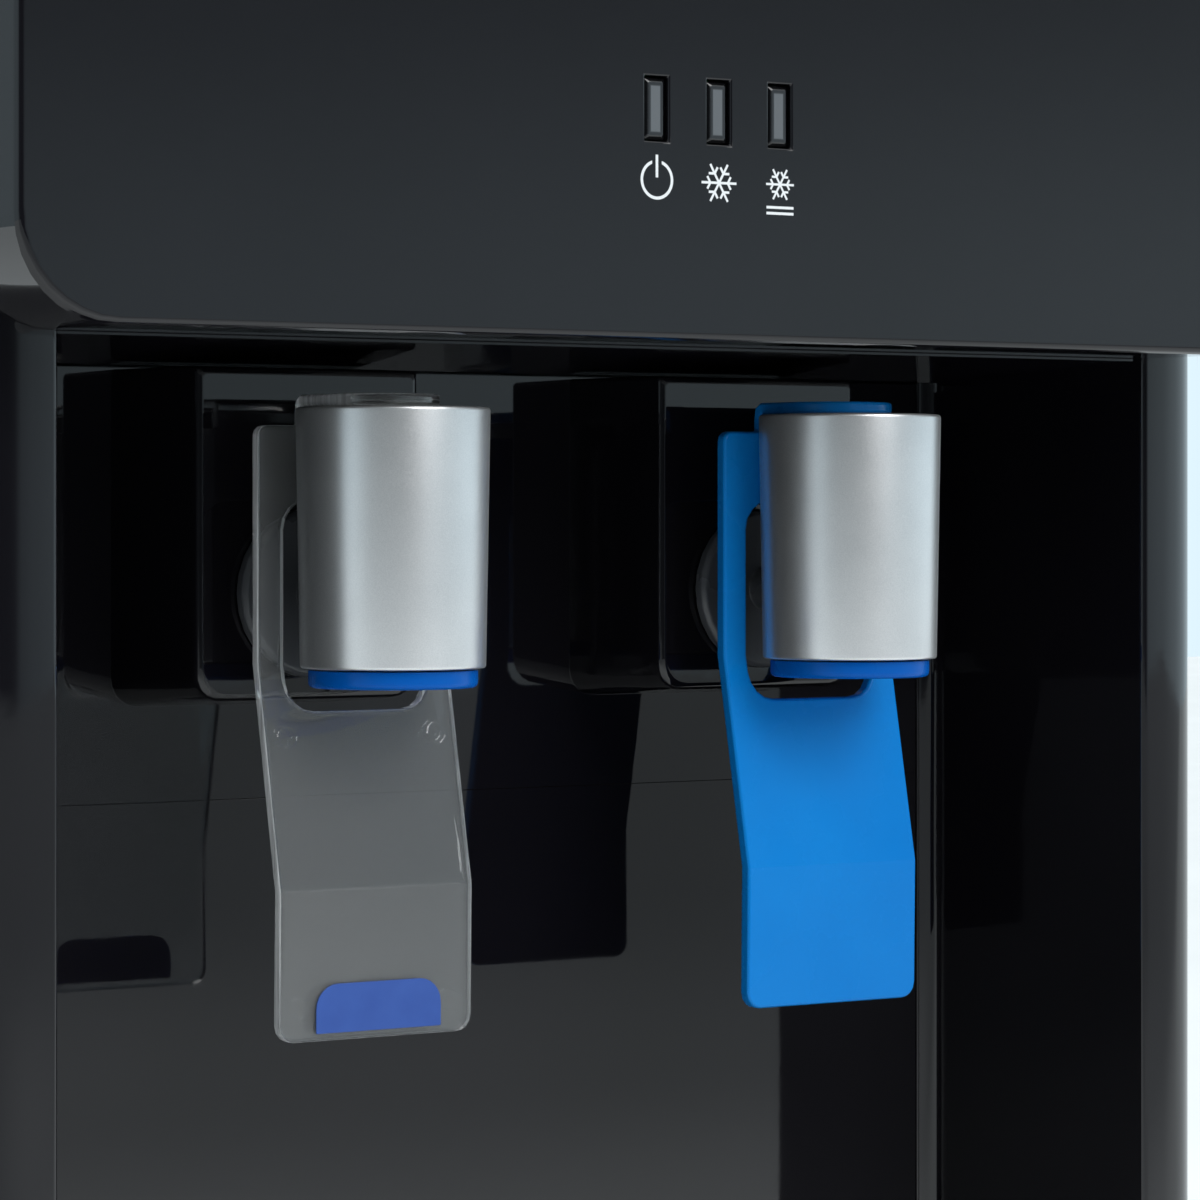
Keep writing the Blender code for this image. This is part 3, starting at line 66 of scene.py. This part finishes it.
# ---- frame values ---------------------------------------------------------------------------------
def middle(node):
    low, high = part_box(node)
    return (low + high) / 2


TAP = {side: middle("spout_ring_" + side) for side in SIDES}
COVER_LOW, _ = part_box("front_upper_cover")
LENS = {name: middle("indicator_lens_" + name) for name in ("power", "cooling", "cold")}
LED_Z = LENS["power"].z
ICON_Z = LED_Z - ICON_DROP


# ---- shader maths ---------------------------------------------------------------------------------
class Value:
    """A node output used in Python arithmetic; each operator adds one Math node to its look."""

    def __init__(self, look, socket):
        self.look, self.socket = look, socket

    def math(self, operation, *others):
        inputs = dict(enumerate((self, *others)))
        return self.look.node("ShaderNodeMath", {"operation": operation}, inputs)

    def abs(self):
        return self.math("ABSOLUTE")

    def sqrt(self):
        return self.math("SQRT")

    def below(self, edge, soft):
        """1 where the value is under edge, 0 above it, with a soft step between."""
        return self.look.node("ShaderNodeMapRange", {"interpolation_type": "SMOOTHSTEP"},
                              {"Value": self, "From Min": edge - soft, "From Max": edge + soft,
                               "To Min": 1.0, "To Max": 0.0})


def operator(kind, turned):
    """A method that adds one Math node of this kind, with its two inputs exchanged when turned."""
    def method(self, other):
        first, second = (other, self) if turned else (self, other)
        return self.look.node("ShaderNodeMath", {"operation": kind}, {0: first, 1: second})
    return method


for symbol, kind in (("add", "ADD"), ("sub", "SUBTRACT"), ("mul", "MULTIPLY"), ("truediv", "DIVIDE"),
                     ("and", "MINIMUM"), ("or", "MAXIMUM")):
    setattr(Value, "__%s__" % symbol, operator(kind, False))
    setattr(Value, "__r%s__" % symbol, operator(kind, True))


def srgb(r, g, b):
    """Display colour, 0 to 255, as linear red, green, blue and alpha."""
    shares = [c / 255 for c in (r, g, b)]
    return tuple(((c + 0.055) / 1.055) ** 2.4 if c > 0.04 else c / 12.92 for c in shares) + (1.0,)


class Look:
    """One node material on the Principled shader."""

    def __init__(self, name, **constants):
        self.material = bpy.data.materials.new(name)
        self.material.use_nodes = True
        self.tree = self.material.node_tree
        self.shader = self.tree.nodes["Principled BSDF"]
        for key, value in constants.items():
            self.shader.inputs[key.replace("_", " ")].default_value = value
        self._place = None

    def feed(self, socket, value):
        if isinstance(value, Value):
            self.tree.links.new(value.socket, socket)
        else:
            socket.default_value = value

    def node(self, kind, settings=None, inputs=None, output=0):
        made = self.tree.nodes.new(kind)
        for key, value in (settings or {}).items():
            if key == "stops":
                ramp = made.color_ramp
                while len(ramp.elements) < len(value):
                    ramp.elements.new(0.5)
                for element, (position, colour) in zip(ramp.elements, value):
                    element.position, element.color = position, colour
            else:
                setattr(made, key, value)
        for key, value in (inputs or {}).items():
            self.feed(made.inputs[key], value)
        return Value(self, made.outputs[output])

    def set(self, **inputs):
        for key, value in inputs.items():
            self.feed(self.shader.inputs[key.replace("_", " ")], value)
        return self

    @property
    def place(self):
        """Object coordinates: every piece sits at the origin, so these are metres in the frame."""
        if self._place is None:
            self._place = self.node("ShaderNodeTexCoord", output=3)
        return self._place

    def axes(self):
        split = self.node("ShaderNodeSeparateXYZ", inputs={0: self.place})
        outs = split.socket.node.outputs
        return Value(self, outs[0]), Value(self, outs[1]), Value(self, outs[2])

    def noise(self, scale, detail=2.0, rough=0.5, at=None):
        return self.node("ShaderNodeTexNoise", inputs={"Vector": at or self.place, "Scale": scale,
                                                       "Detail": detail, "Roughness": rough})

    def cells(self, scale):
        """Distance to the walls of random cells."""
        return self.node("ShaderNodeTexVoronoi", {"feature": "DISTANCE_TO_EDGE"},
                         {"Vector": self.place, "Scale": float(scale)})

    def stretched(self, x, y, z):
        return self.node("ShaderNodeMapping", inputs={"Vector": self.place, "Scale": (x, y, z)})

    def mix(self, factor, a, b):
        return self.node("ShaderNodeMix", {"data_type": "RGBA"}, {0: factor, 6: a, 7: b}, output=2)

    def span(self, value, low, high):
        """Noise, which stays near a half, spread over low to high."""
        return self.node("ShaderNodeMapRange", inputs={"Value": value, "From Min": 0.3, "From Max": 0.7,
                                                       "To Min": low, "To Max": high})

    def bump(self, height, distance, strength=1.0):
        return self.set(Normal=self.node("ShaderNodeBump", inputs={"Height": height, "Distance": distance,
                                                                   "Strength": strength}))


class Sky(Look):
    """The same node writing for the surround's node tree."""

    def __init__(self, tree):
        self.tree = tree


# ---- finishes -------------------------------------------------------------------------------------
def moulded(name, colour, roughness, spread=0.03, wave=0.00004, tone=0.12, grain=0.06, **constants):
    """Moulded plastic: faint waves and grain in the surface, slight change of tone and gloss."""
    look = Look(name, **constants)
    dark = tuple(c * (1 - tone) for c in colour[:3]) + (1.0,)
    light = tuple(min(1, c * (1 + tone)) for c in colour[:3]) + (1.0,)
    look.set(Base_Color=look.mix(look.span(look.noise(18, 3), 0, 1), dark, light))
    look.set(Roughness=look.span(look.noise(55, 4, 0.6), roughness - spread, roughness + spread))
    height = look.noise(160, 2) * 0.8
    return look.bump(height + look.noise(900, 2) * grain if grain else height, wave)


def gloss_black(name="gloss_black"):
    return moulded(name, srgb(15, 14, 18), 0.04, 0.02, 0.000006, grain=0.0, Specular_IOR_Level=0.5)


def marks(look, x, z, centre, size, weight):
    """Power mark: an open ring with a bar through its gap, as distance masks."""
    px, pz = (x - centre) / MM, (z - ICON_Z) / MM
    radius = (px * px + pz * pz).sqrt()
    ring = (radius - size).abs().below(weight / 2, PRINT_SOFT)
    gap = px.abs().below(size * 0.32, PRINT_SOFT) & pz.math("GREATER_THAN", 0.0)
    bar = px.abs().below(weight / 2, PRINT_SOFT) & (pz - size * 0.75).abs().below(size * 0.62, PRINT_SOFT)
    return (ring * (1 - gap)) | bar


def flake(look, x, z, centre, height, size, weight):
    """Snow crystal: the plane folded into one twelfth, then an arm and a twig at 60 degrees to it."""
    px, pz = (x - centre) / MM, (z - height) / MM
    radius = (px * px + pz * pz).sqrt()
    sector = math.radians(60)
    turn = pz.math("ARCTAN2", px) + sector / 2
    fold = (turn.math("FLOORED_MODULO", sector) - sector / 2).abs()
    along, across = radius * fold.math("COSINE"), radius * fold.math("SINE")
    arm = across.below(weight / 2, PRINT_SOFT) & along.below(size, PRINT_SOFT)
    start, half_reach = 0.50 * size, 0.17 * size
    u = (along - start) * math.cos(sector) + across * math.sin(sector)
    v = ((along - start) * math.sin(sector) - across * math.cos(sector)).abs()
    return arm | (v.below(weight / 2, PRINT_SOFT) & (u - half_reach).abs().below(half_reach, PRINT_SOFT))


def printed_black():
    """Gloss black of the upper cover with the three white marks printed under the windows."""
    look = gloss_black("gloss_black_printed")
    x, y, z = look.axes()
    white = marks(look, x, z, LENS["power"].x, 3.65, 0.62)
    white = white | flake(look, x, z, LENS["cooling"].x, ICON_Z, 4.3, 0.5)
    cold_x, cold_z = LENS["cold"].x, ICON_Z + 0.3 * MM
    white = white | flake(look, x, z, cold_x, cold_z, 3.5, 0.45)
    px, pz = (x - cold_x) / MM, (z - ICON_Z) / MM
    for drop in (4.4, 5.6):
        line = px.abs().below(3.4, PRINT_SOFT) & (pz + drop).abs().below(0.27, PRINT_SOFT)
        white = white | line
    white = white * y.math("LESS_THAN", COVER_LOW.y + 0.5 * MM)
    base = look.shader.inputs["Base Color"].links[0].from_socket
    rough = look.shader.inputs["Roughness"].links[0].from_socket
    look.set(Base_Color=look.mix(white, Value(look, base), srgb(225, 228, 230)))
    look.set(Roughness=Value(look, rough) + white * 0.35)
    return look


def satin_black():
    return moulded("satin_black", srgb(24, 25, 28), 0.36, 0.05, 0.00006)


def powder_coat():
    look = Look("side_paint", Specular_IOR_Level=0.45)
    look.set(Base_Color=look.mix(look.span(look.noise(30, 4), 0, 1), srgb(24, 25, 28), srgb(30, 31, 35)))
    look.set(Roughness=look.span(look.noise(240, 3), 0.30, 0.40))
    return look.bump(look.noise(1400, 3, 0.6), 0.00006, 0.6)


def satin_silver():
    """Silver lacquer on the tap sleeves: fine flake sparkle over satin metal."""
    look = Look("satin_silver", Metallic=0.85, Specular_IOR_Level=0.5)
    grain = look.noise(4200, 2, 0.6)
    cloud = look.noise(60, 2)
    tone = look.span(grain, 0.0, 1.0) * 0.6 + look.span(cloud, 0.0, 0.4)
    look.set(Base_Color=look.mix(tone, srgb(208, 210, 212), srgb(230, 231, 232)))
    look.set(Roughness=look.span(grain, 0.28, 0.36))
    return look.bump(grain, 0.00002, 0.25)


def brushed(name, colour, roughness, stretch):
    look = Look(name, Metallic=1.0)
    lines = look.noise(90, 5, 0.7, look.stretched(*stretch))
    dark = tuple(c * 0.8 for c in colour[:3]) + (1.0,)
    look.set(Base_Color=look.mix(look.span(lines, 0, 1), dark, colour))
    look.set(Roughness=look.span(lines, roughness - 0.07, roughness + 0.07))
    return look.bump(lines, 0.00002, 0.5)


def ejector_marks(look, side):
    """Rings left by the mould's ejector pins at the paddle's corners, as a height.

    The four pins fold onto one: distance from the middle line, and from the middle of two heights.
    """
    x, _, z = look.axes()
    low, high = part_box("lever_" + side)
    out, half_rise, middle_rise, pin = 17.5, 27.0, 33.5, 2.1
    px = ((x - (low.x + high.x) / 2) / MM).abs() - out
    pz = ((z - low.z) / MM - middle_rise).abs() - half_rise
    return ((px * px + pz * pz).sqrt() - pin).abs().below(0.12, 0.12)


def blue_lever_plastic():
    look = Look("lever_blue", Specular_IOR_Level=0.2)
    look.set(Base_Color=look.mix(look.span(look.noise(22, 3), 0, 1), srgb(2, 116, 196), srgb(5, 124, 204)))
    look.set(Roughness=look.span(look.noise(70, 4), 0.24, 0.32))
    return look.bump(ejector_marks(look, "right") * 0.3 + look.noise(420, 2) * 0.15, 0.00004, 0.8)


def clear_plastic():
    """Clear polycarbonate; the rims carry pale streaks along the edge, a painted highlight for the light that
    leaves the sheet there.
    """
    look = Look("lever_clear", Transmission_Weight=0.94, IOR=1.49, Specular_IOR_Level=0.9)
    clouds = look.span(look.noise(12, 2), 0, 1)
    look.set(Base_Color=look.mix(clouds, srgb(246, 249, 250), srgb(252, 253, 253)))
    look.set(Roughness=look.span(look.noise(70, 4), 0.0, 0.02))
    look.bump(ejector_marks(look, "left") + look.noise(25, 2) * 1.2, 0.00005, 0.8)
    facing = look.node("ShaderNodeNewGeometry", output=1)
    sideways = look.node("ShaderNodeSeparateXYZ", inputs={0: facing}, output=1).abs().below(0.55, 0.15)
    # painted highlight: the sideways rim faces get a whiter, less clear shader in streaks along the edge
    highlight_streaks = look.span(look.noise(900, 3, 0.6, look.stretched(1, 1, 0.03)), 0.3, 1.0)
    painted_rim_highlight = look.node("ShaderNodeBsdfPrincipled",
                    inputs={"Base Color": srgb(250, 251, 253), "Roughness": 0.12, "Transmission Weight": 0.1})
    both = look.node("ShaderNodeMixShader",
                     inputs={0: sideways * highlight_streaks, 1: Value(look, look.shader.outputs[0]), 2: painted_rim_highlight})
    look.feed(look.tree.nodes["Material Output"].inputs[0], both)
    return look


def label_film():
    look = Look("label_blue", Specular_IOR_Level=0.4)
    look.set(Base_Color=look.mix(look.span(look.noise(160, 3), 0, 1), srgb(42, 76, 152), srgb(48, 83, 160)))
    look.set(Roughness=look.span(look.noise(200, 3), 0.32, 0.42))
    return look.bump(look.noise(300, 2), 0.00002, 0.5)


def lens_look(name):
    """Smoked window: dark frame, with a paler bar down its middle that is a painted sheen."""
    look = Look("lens_" + name, Specular_IOR_Level=0.5)
    x, _, z = look.axes()
    across, along = ((x - LENS[name].x) / MM).abs(), ((z - LED_Z) / MM).abs()
    # painted sheen: a paler bar down the middle of the window
    bar = across.below(1.15, 0.15) & along.below(4.6, 0.2)
    inner = across.below(1.9, 0.1) & along.below(5.4, 0.1)
    colour = look.mix(inner, srgb(8, 8, 10), srgb(40, 42, 45))
    look.set(Base_Color=look.mix(bar, colour, srgb(94, 98, 102)))
    look.set(Roughness=look.span(look.noise(300, 2), 0.08, 0.16))
    return look.bump(look.noise(500, 2), 0.00001, 0.5)


def plastic(name, colour, roughness, **constants):
    return moulded(name, srgb(*colour), roughness, 0.05, 0.00004, 0.05, **constants)


def rubber():
    look = Look("rubber", Specular_IOR_Level=0.25)
    look.set(Base_Color=look.mix(look.span(look.noise(120, 4), 0, 1), srgb(20, 20, 21), srgb(32, 32, 33)))
    look.set(Roughness=look.span(look.noise(300, 3), 0.78, 0.92))
    return look.bump(look.noise(1600, 3), 0.0001, 0.6)


def foam():
    look = Look("foam", Specular_IOR_Level=0.2)
    cells = look.cells(260)
    look.set(Base_Color=look.mix(cells.below(0.08, 0.06), srgb(238, 236, 228), srgb(206, 203, 192)))
    look.set(Roughness=look.span(look.noise(200, 2), 0.85, 0.95))
    return look.bump(cells, 0.0004, 0.6)


def circuit_board():
    look = Look("board_green", Specular_IOR_Level=0.5)
    tracks = look.cells(110).below(0.06, 0.02)
    look.set(Base_Color=look.mix(tracks, srgb(14, 70, 42), srgb(40, 120, 74)))
    look.set(Roughness=look.span(look.noise(200, 2), 0.35, 0.5))
    return look.bump(tracks, 0.00004, 0.6)


def tubing():
    look = Look("pipe", Specular_IOR_Level=0.5, Subsurface_Weight=0.2, Subsurface_Radius=(0.01,) * 3)
    clouds = look.span(look.noise(60, 3), 0, 1)
    look.set(Base_Color=look.mix(clouds, srgb(198, 206, 210), srgb(222, 227, 229)))
    look.set(Roughness=look.span(look.noise(120, 3), 0.22, 0.34))
    return look.bump(look.noise(400, 2), 0.00003, 0.5)


FINISHES = {
    "gloss_black": gloss_black(),
    "satin_black": satin_black(),
    "side_paint": powder_coat(),
    "steel": brushed("steel", srgb(186, 188, 190), 0.3, (1, 1, 14)),
    "satin_aluminium": satin_silver(),
    "zinc": brushed("zinc", srgb(168, 172, 176), 0.42, (1, 6, 1)),
    "blue_plastic": blue_lever_plastic(),
    "clear_plastic": clear_plastic(),
    "label_blue": label_film(),
    "ring_blue": plastic("ring_blue", (1, 86, 174), 0.26, Specular_IOR_Level=0.12),
    "rubber": rubber(),
    "white_plastic": plastic("white_plastic", (214, 216, 214), 0.4),
    "board_green": circuit_board(),
    "foam": foam(),
    "pipe": tubing(),
    "copper": brushed("copper", srgb(184, 112, 76), 0.3, (8, 1, 1)),
    "enamel": moulded("enamel", srgb(16, 16, 18), 0.2, 0.05, 0.00008),
}
SPECIAL = {"front_upper_cover": printed_black()}
SMOKY = plastic("smoky_plastic", (74, 76, 80), 0.28)
SPECIAL.update({"tap_shank_" + side: SMOKY for side in TAP})
SPECIAL.update({"indicator_lens_" + name: lens_look(name) for name in LENS})


def finish_of(node):
    return SPECIAL.get(node) or FINISHES[SLOT_OF[node]]


def dress(obj, look):
    obj.data.materials.clear()
    obj.data.materials.append(look.material)


# ---- finer surfaces -------------------------------------------------------------------------------
def new_piece(name, grid, faces, node, look):
    """A closed mesh from points and faces, turned outwards, that stands for one CAD node."""
    mesh = bpy.data.meshes.new(name)
    mesh.from_pydata(grid.reshape(-1, 3).tolist(), [], faces)
    bm = bmesh.new()
    bm.from_mesh(mesh)
    bmesh.ops.recalc_face_normals(bm, faces=bm.faces)
    bm.to_mesh(mesh)
    bm.free()
    mesh.shade_smooth()
    mesh.set_sharp_from_angle(angle=math.radians(38))
    obj = bpy.data.objects.new(name, mesh)
    bpy.context.scene.collection.objects.link(obj)
    stand_for(obj, node, look)


def stand_for(obj, node, look):
    dress(obj, look)
    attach(obj, BODY_OF[node])
    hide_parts(node)


def edged(node, width, segments=3, angle=35):
    """A merged copy of a CAD node with its flat faces joined and its edges rounded off."""
    source = NODES[node]
    mesh = source.data.copy()
    bm = bmesh.new()
    bm.from_mesh(mesh)
    bmesh.ops.remove_doubles(bm, verts=bm.verts, dist=1e-6)
    bmesh.ops.dissolve_limit(bm, angle_limit=math.radians(0.4), verts=bm.verts, edges=bm.edges)
    bm.to_mesh(mesh)
    bm.free()
    mesh.shade_smooth()
    mesh.set_sharp_from_angle(angle=math.radians(angle))
    obj = bpy.data.objects.new(node + "_finished", mesh)
    bpy.context.scene.collection.objects.link(obj)
    if width > 0:
        bevel = obj.modifiers.new("rounded_edges", "BEVEL")
        bevel.width, bevel.segments = width, segments
        bevel.limit_method, bevel.angle_limit = "ANGLE", math.radians(angle)
        bevel.use_clamp_overlap = True
        evened = obj.modifiers.new("even_normals", "WEIGHTED_NORMAL")
        evened.keep_sharp, evened.weight = True, 100
    stand_for(obj, node, finish_of(node))
    return obj


def rounded(points, radii, steps=4):
    """Closed section with its corners rounded: at each corner a short quadratic curve."""
    pts, out = np.asarray(points, float), []
    for i, p in enumerate(pts):
        a, b = pts[i - 1], pts[(i + 1) % len(pts)]
        r = radii[i]
        if r <= 0:
            out.append(p[None])
            continue
        u = p + (a - p) / np.linalg.norm(a - p) * r
        v = p + (b - p) / np.linalg.norm(b - p) * r
        t = np.linspace(0, 1, steps + 1)[:, None]
        out.append(u * (1 - t) ** 2 + 2 * p * t * (1 - t) + v * t ** 2)
    return np.concatenate(out)


def swept_ring(name, section, centre, start, end, count, node, look):
    """The closed section (radius, height) turned about the tap axis from start to end, in radians.

    A full turn joins its last row to its first; a part turn closes its two ends with the section.
    """
    full = end - start > 2 * math.pi - 1e-6
    angles = np.linspace(start, end, count, endpoint=not full)
    r, h = section[:, 0], section[:, 1]
    grid = np.stack([centre.x + np.outer(np.cos(angles), r), centre.y + np.outer(np.sin(angles), r),
                     np.broadcast_to(h, (count, len(h)))], axis=-1)
    n = len(section)
    i, j = np.meshgrid(np.arange(count if full else count - 1), np.arange(n), indexing="ij")
    k, m = (i + 1) % count, (j + 1) % n
    quads = np.stack([i * n + j, k * n + j, k * n + m, i * n + m], axis=-1).reshape(-1, 4).tolist()
    if not full:
        quads += [list(range(n))[::-1], list(range((count - 1) * n, count * n))]
    new_piece(name, grid, quads, node, look)


def sleeve(side):
    """Tapered silver sleeve, open at the back, with rounded rims."""
    node = "tap_sleeve_" + side
    low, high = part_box(node)
    centre = TAP[side]
    taper, wall = 0.9 * MM, 1.8 * MM
    top = (high.x - low.x) / 2
    foot, cut = top - taper, high.y - centre.y
    section = rounded([(foot - wall, low.z), (foot, low.z), (top, high.z), (top - wall, high.z)],
                      [0.3 * MM, 0.7 * MM, 0.8 * MM, 0.4 * MM], 5)
    gap = math.asin(min(1, cut / foot))
    swept_ring("sleeve_" + side, section, centre, math.pi - gap, 2 * math.pi + gap, 220, node,
               FINISHES["satin_aluminium"])


def ring(side):
    """Blue ring round the spout with rounded lower edge."""
    node = "spout_ring_" + side
    low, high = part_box(node)
    hole, r = 7.9 * MM, (high.x - low.x) / 2
    section = rounded([(hole, low.z), (r, low.z), (r, high.z), (hole, high.z)],
                      [0.2 * MM, 1.3 * MM, 0.3 * MM, 0.2 * MM], 6)
    swept_ring("ring_" + side, section, TAP[side], 0, 2 * math.pi, 160, node, FINISHES["ring_blue"])


# width of the rounded edge on each piece, in millimetres
EDGES = {
    "front_upper_cover": 0.5, "tap_panel": 0.06, "splash_panel": 0.06, "alcove_liner": 0.3,
    "front_base": 0.8, "top_cover": 0.3, "side_panel_left": 0.4, "side_panel_right": 0.4, "rear_panel": 0.4,
    "drip_tray": 0.6, "drip_grille": 0.5, "lever_left": 0.6, "lever_right": 0.6, "lever_label_left": 0.05,
    "tap_shank_left": 0.3, "tap_shank_right": 0.3, "tap_body_left": 0.3, "tap_body_right": 0.3,
    "shank_nut_left": 0.4, "shank_nut_right": 0.4, "indicator_lens_power": 0.12,
    "indicator_lens_cooling": 0.12, "indicator_lens_cold": 0.12, "thermostat_knob": 0.5, "power_inlet": 0.3,
    "rocker_switch": 0.5, "water_inlet_fitting": 0.3, "drain_plug": 0.3, "base_pan": 0.3, "compressor": 0.4,
    "cold_tank": 0.4,
}
SMOOTH = ("foot_", "compressor_grommet", "valve_stem", "condenser", "tap_tube", "supply_tube", "tank_foam")
MADE = ("tap_sleeve", "spout_ring", "valve_spring")


def valve_spring(side):
    """Valve spring, held at its upper end: a merged copy of the CAD node with a mesh of its own."""
    node = "valve_spring_" + side
    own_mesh(edged(node, 0))


for side in SIDES:
    sleeve(side)
    ring(side)
    valve_spring(side)

for node in NODES:
    if node in EDGES:
        edged(node, EDGES[node] * MM)
    elif node.startswith(SMOOTH):
        edged(node, 0)
    elif not node.startswith(MADE):
        dress(NODES[node], finish_of(node))


# ---- stage ----------------------------------------------------------------------------------------
def floor():
    """Pale floor, with painted shade: a light grey well in front of the object."""
    mesh = bpy.data.meshes.new("floor")
    reach = 6
    corners = [(-reach, -reach, 0), (reach, -reach, 0), (reach, reach, 0), (-reach, reach, 0)]
    mesh.from_pydata(corners, [], [(0, 1, 2, 3)])
    obj = bpy.data.objects.new("floor", mesh)
    bpy.context.scene.collection.objects.link(obj)
    look = Look("floor_pale", Roughness=0.6)
    pale = look.mix(look.span(look.noise(3, 3), 0, 1), srgb(236, 238, 238), srgb(242, 244, 244))
    # painted shade: the floor turns darker far in front of the object
    painted_shade_in_front = look.axes()[1].below(-0.85, 0.3)
    look.set(Base_Color=look.mix(painted_shade_in_front, pale, srgb(178, 181, 182)))
    dress(obj, look)


def studio():
    """Soft surround: brightness by compass bearing from the front, brighter overhead."""
    world = bpy.data.worlds.new("studio")
    world.use_nodes = True
    bpy.context.scene.world = world
    look = Sky(world.node_tree)
    back = world.node_tree.nodes["Background"]
    direction = look.node("ShaderNodeTexCoord", output=0)
    split = look.node("ShaderNodeSeparateXYZ", inputs={0: direction}).socket.node.outputs
    x, y, z = (Value(look, socket) for socket in split)
    bearing = x.math("ARCTAN2", y * -1) / (2 * math.pi) + 0.5
    stops = [(-180, 0.90), (-146, 0.30), (-122, 0.32), (-110, 0.80), (-78, 0.72), (-60, 0.12), (-42, 0.07),
             (-8, 0.04), (2, 0.10), (9, 0.42), (24, 0.58), (36, 0.76), (48, 0.95), (62, 1.12), (100, 1.1),
             (138, 0.92), (180, 0.90)]
    tint = (0.82, 1.0, 1.09)
    ramp = look.node("ShaderNodeValToRGB",
                     {"stops": [(a / 360 + 0.5, tuple(v * t for t in tint) + (1.0,)) for a, v in stops]},
                     {0: bearing})
    raised = look.node("ShaderNodeMix", {"data_type": "RGBA", "blend_type": "MULTIPLY"},
                       {0: 1.0, 6: ramp, 7: (0.40, 0.40, 0.40, 1.0)}, output=2)
    level = z.below(0.09, 0.05) | x.math("LESS_THAN", 0.0) | y.math("GREATER_THAN", 0.0)
    above = 1 - z.below(0.55, 0.25)
    look.feed(back.inputs[0], look.mix(above, look.mix(level, raised, ramp), (1.25, 1.3, 1.32, 1.0)))


def key_light():
    """Large soft lamp in front, a little to the right and above."""
    data = bpy.data.lights.new("key", "AREA")
    data.size, data.energy = 0.9, 14.5
    obj = bpy.data.objects.new("key", data)
    bearing, rise, reach = math.radians(10), math.radians(33), 1.6
    aim_z, flat = 0.25, reach * math.cos(rise)
    obj.location = (math.sin(bearing) * flat, COVER_LOW.y - math.cos(bearing) * flat,
                    aim_z + math.sin(rise) * reach)
    obj.rotation_euler = (math.pi / 2 - rise, 0, bearing)
    bpy.context.scene.collection.objects.link(obj)


def camera():
    """Level camera to the left of the front, aimed along its own bearing; the frame sits a little low."""
    data = bpy.data.cameras.new("camera")
    data.lens, data.sensor_width = 135, 36
    data.shift_y = -80 / 1200
    data.clip_start, data.clip_end = 0.05, 50
    obj = bpy.data.objects.new("camera", data)
    obj.location = (-526 * MM, COVER_LOW.y - 737 * MM, 279 * MM)
    obj.rotation_euler = (math.radians(90), 0, math.radians(-34))
    bpy.context.scene.collection.objects.link(obj)
    bpy.context.scene.camera = obj


floor()
studio()
key_light()
camera()
bpy.context.scene.view_settings.view_transform = "Standard"

bpy.context.view_layer.update()
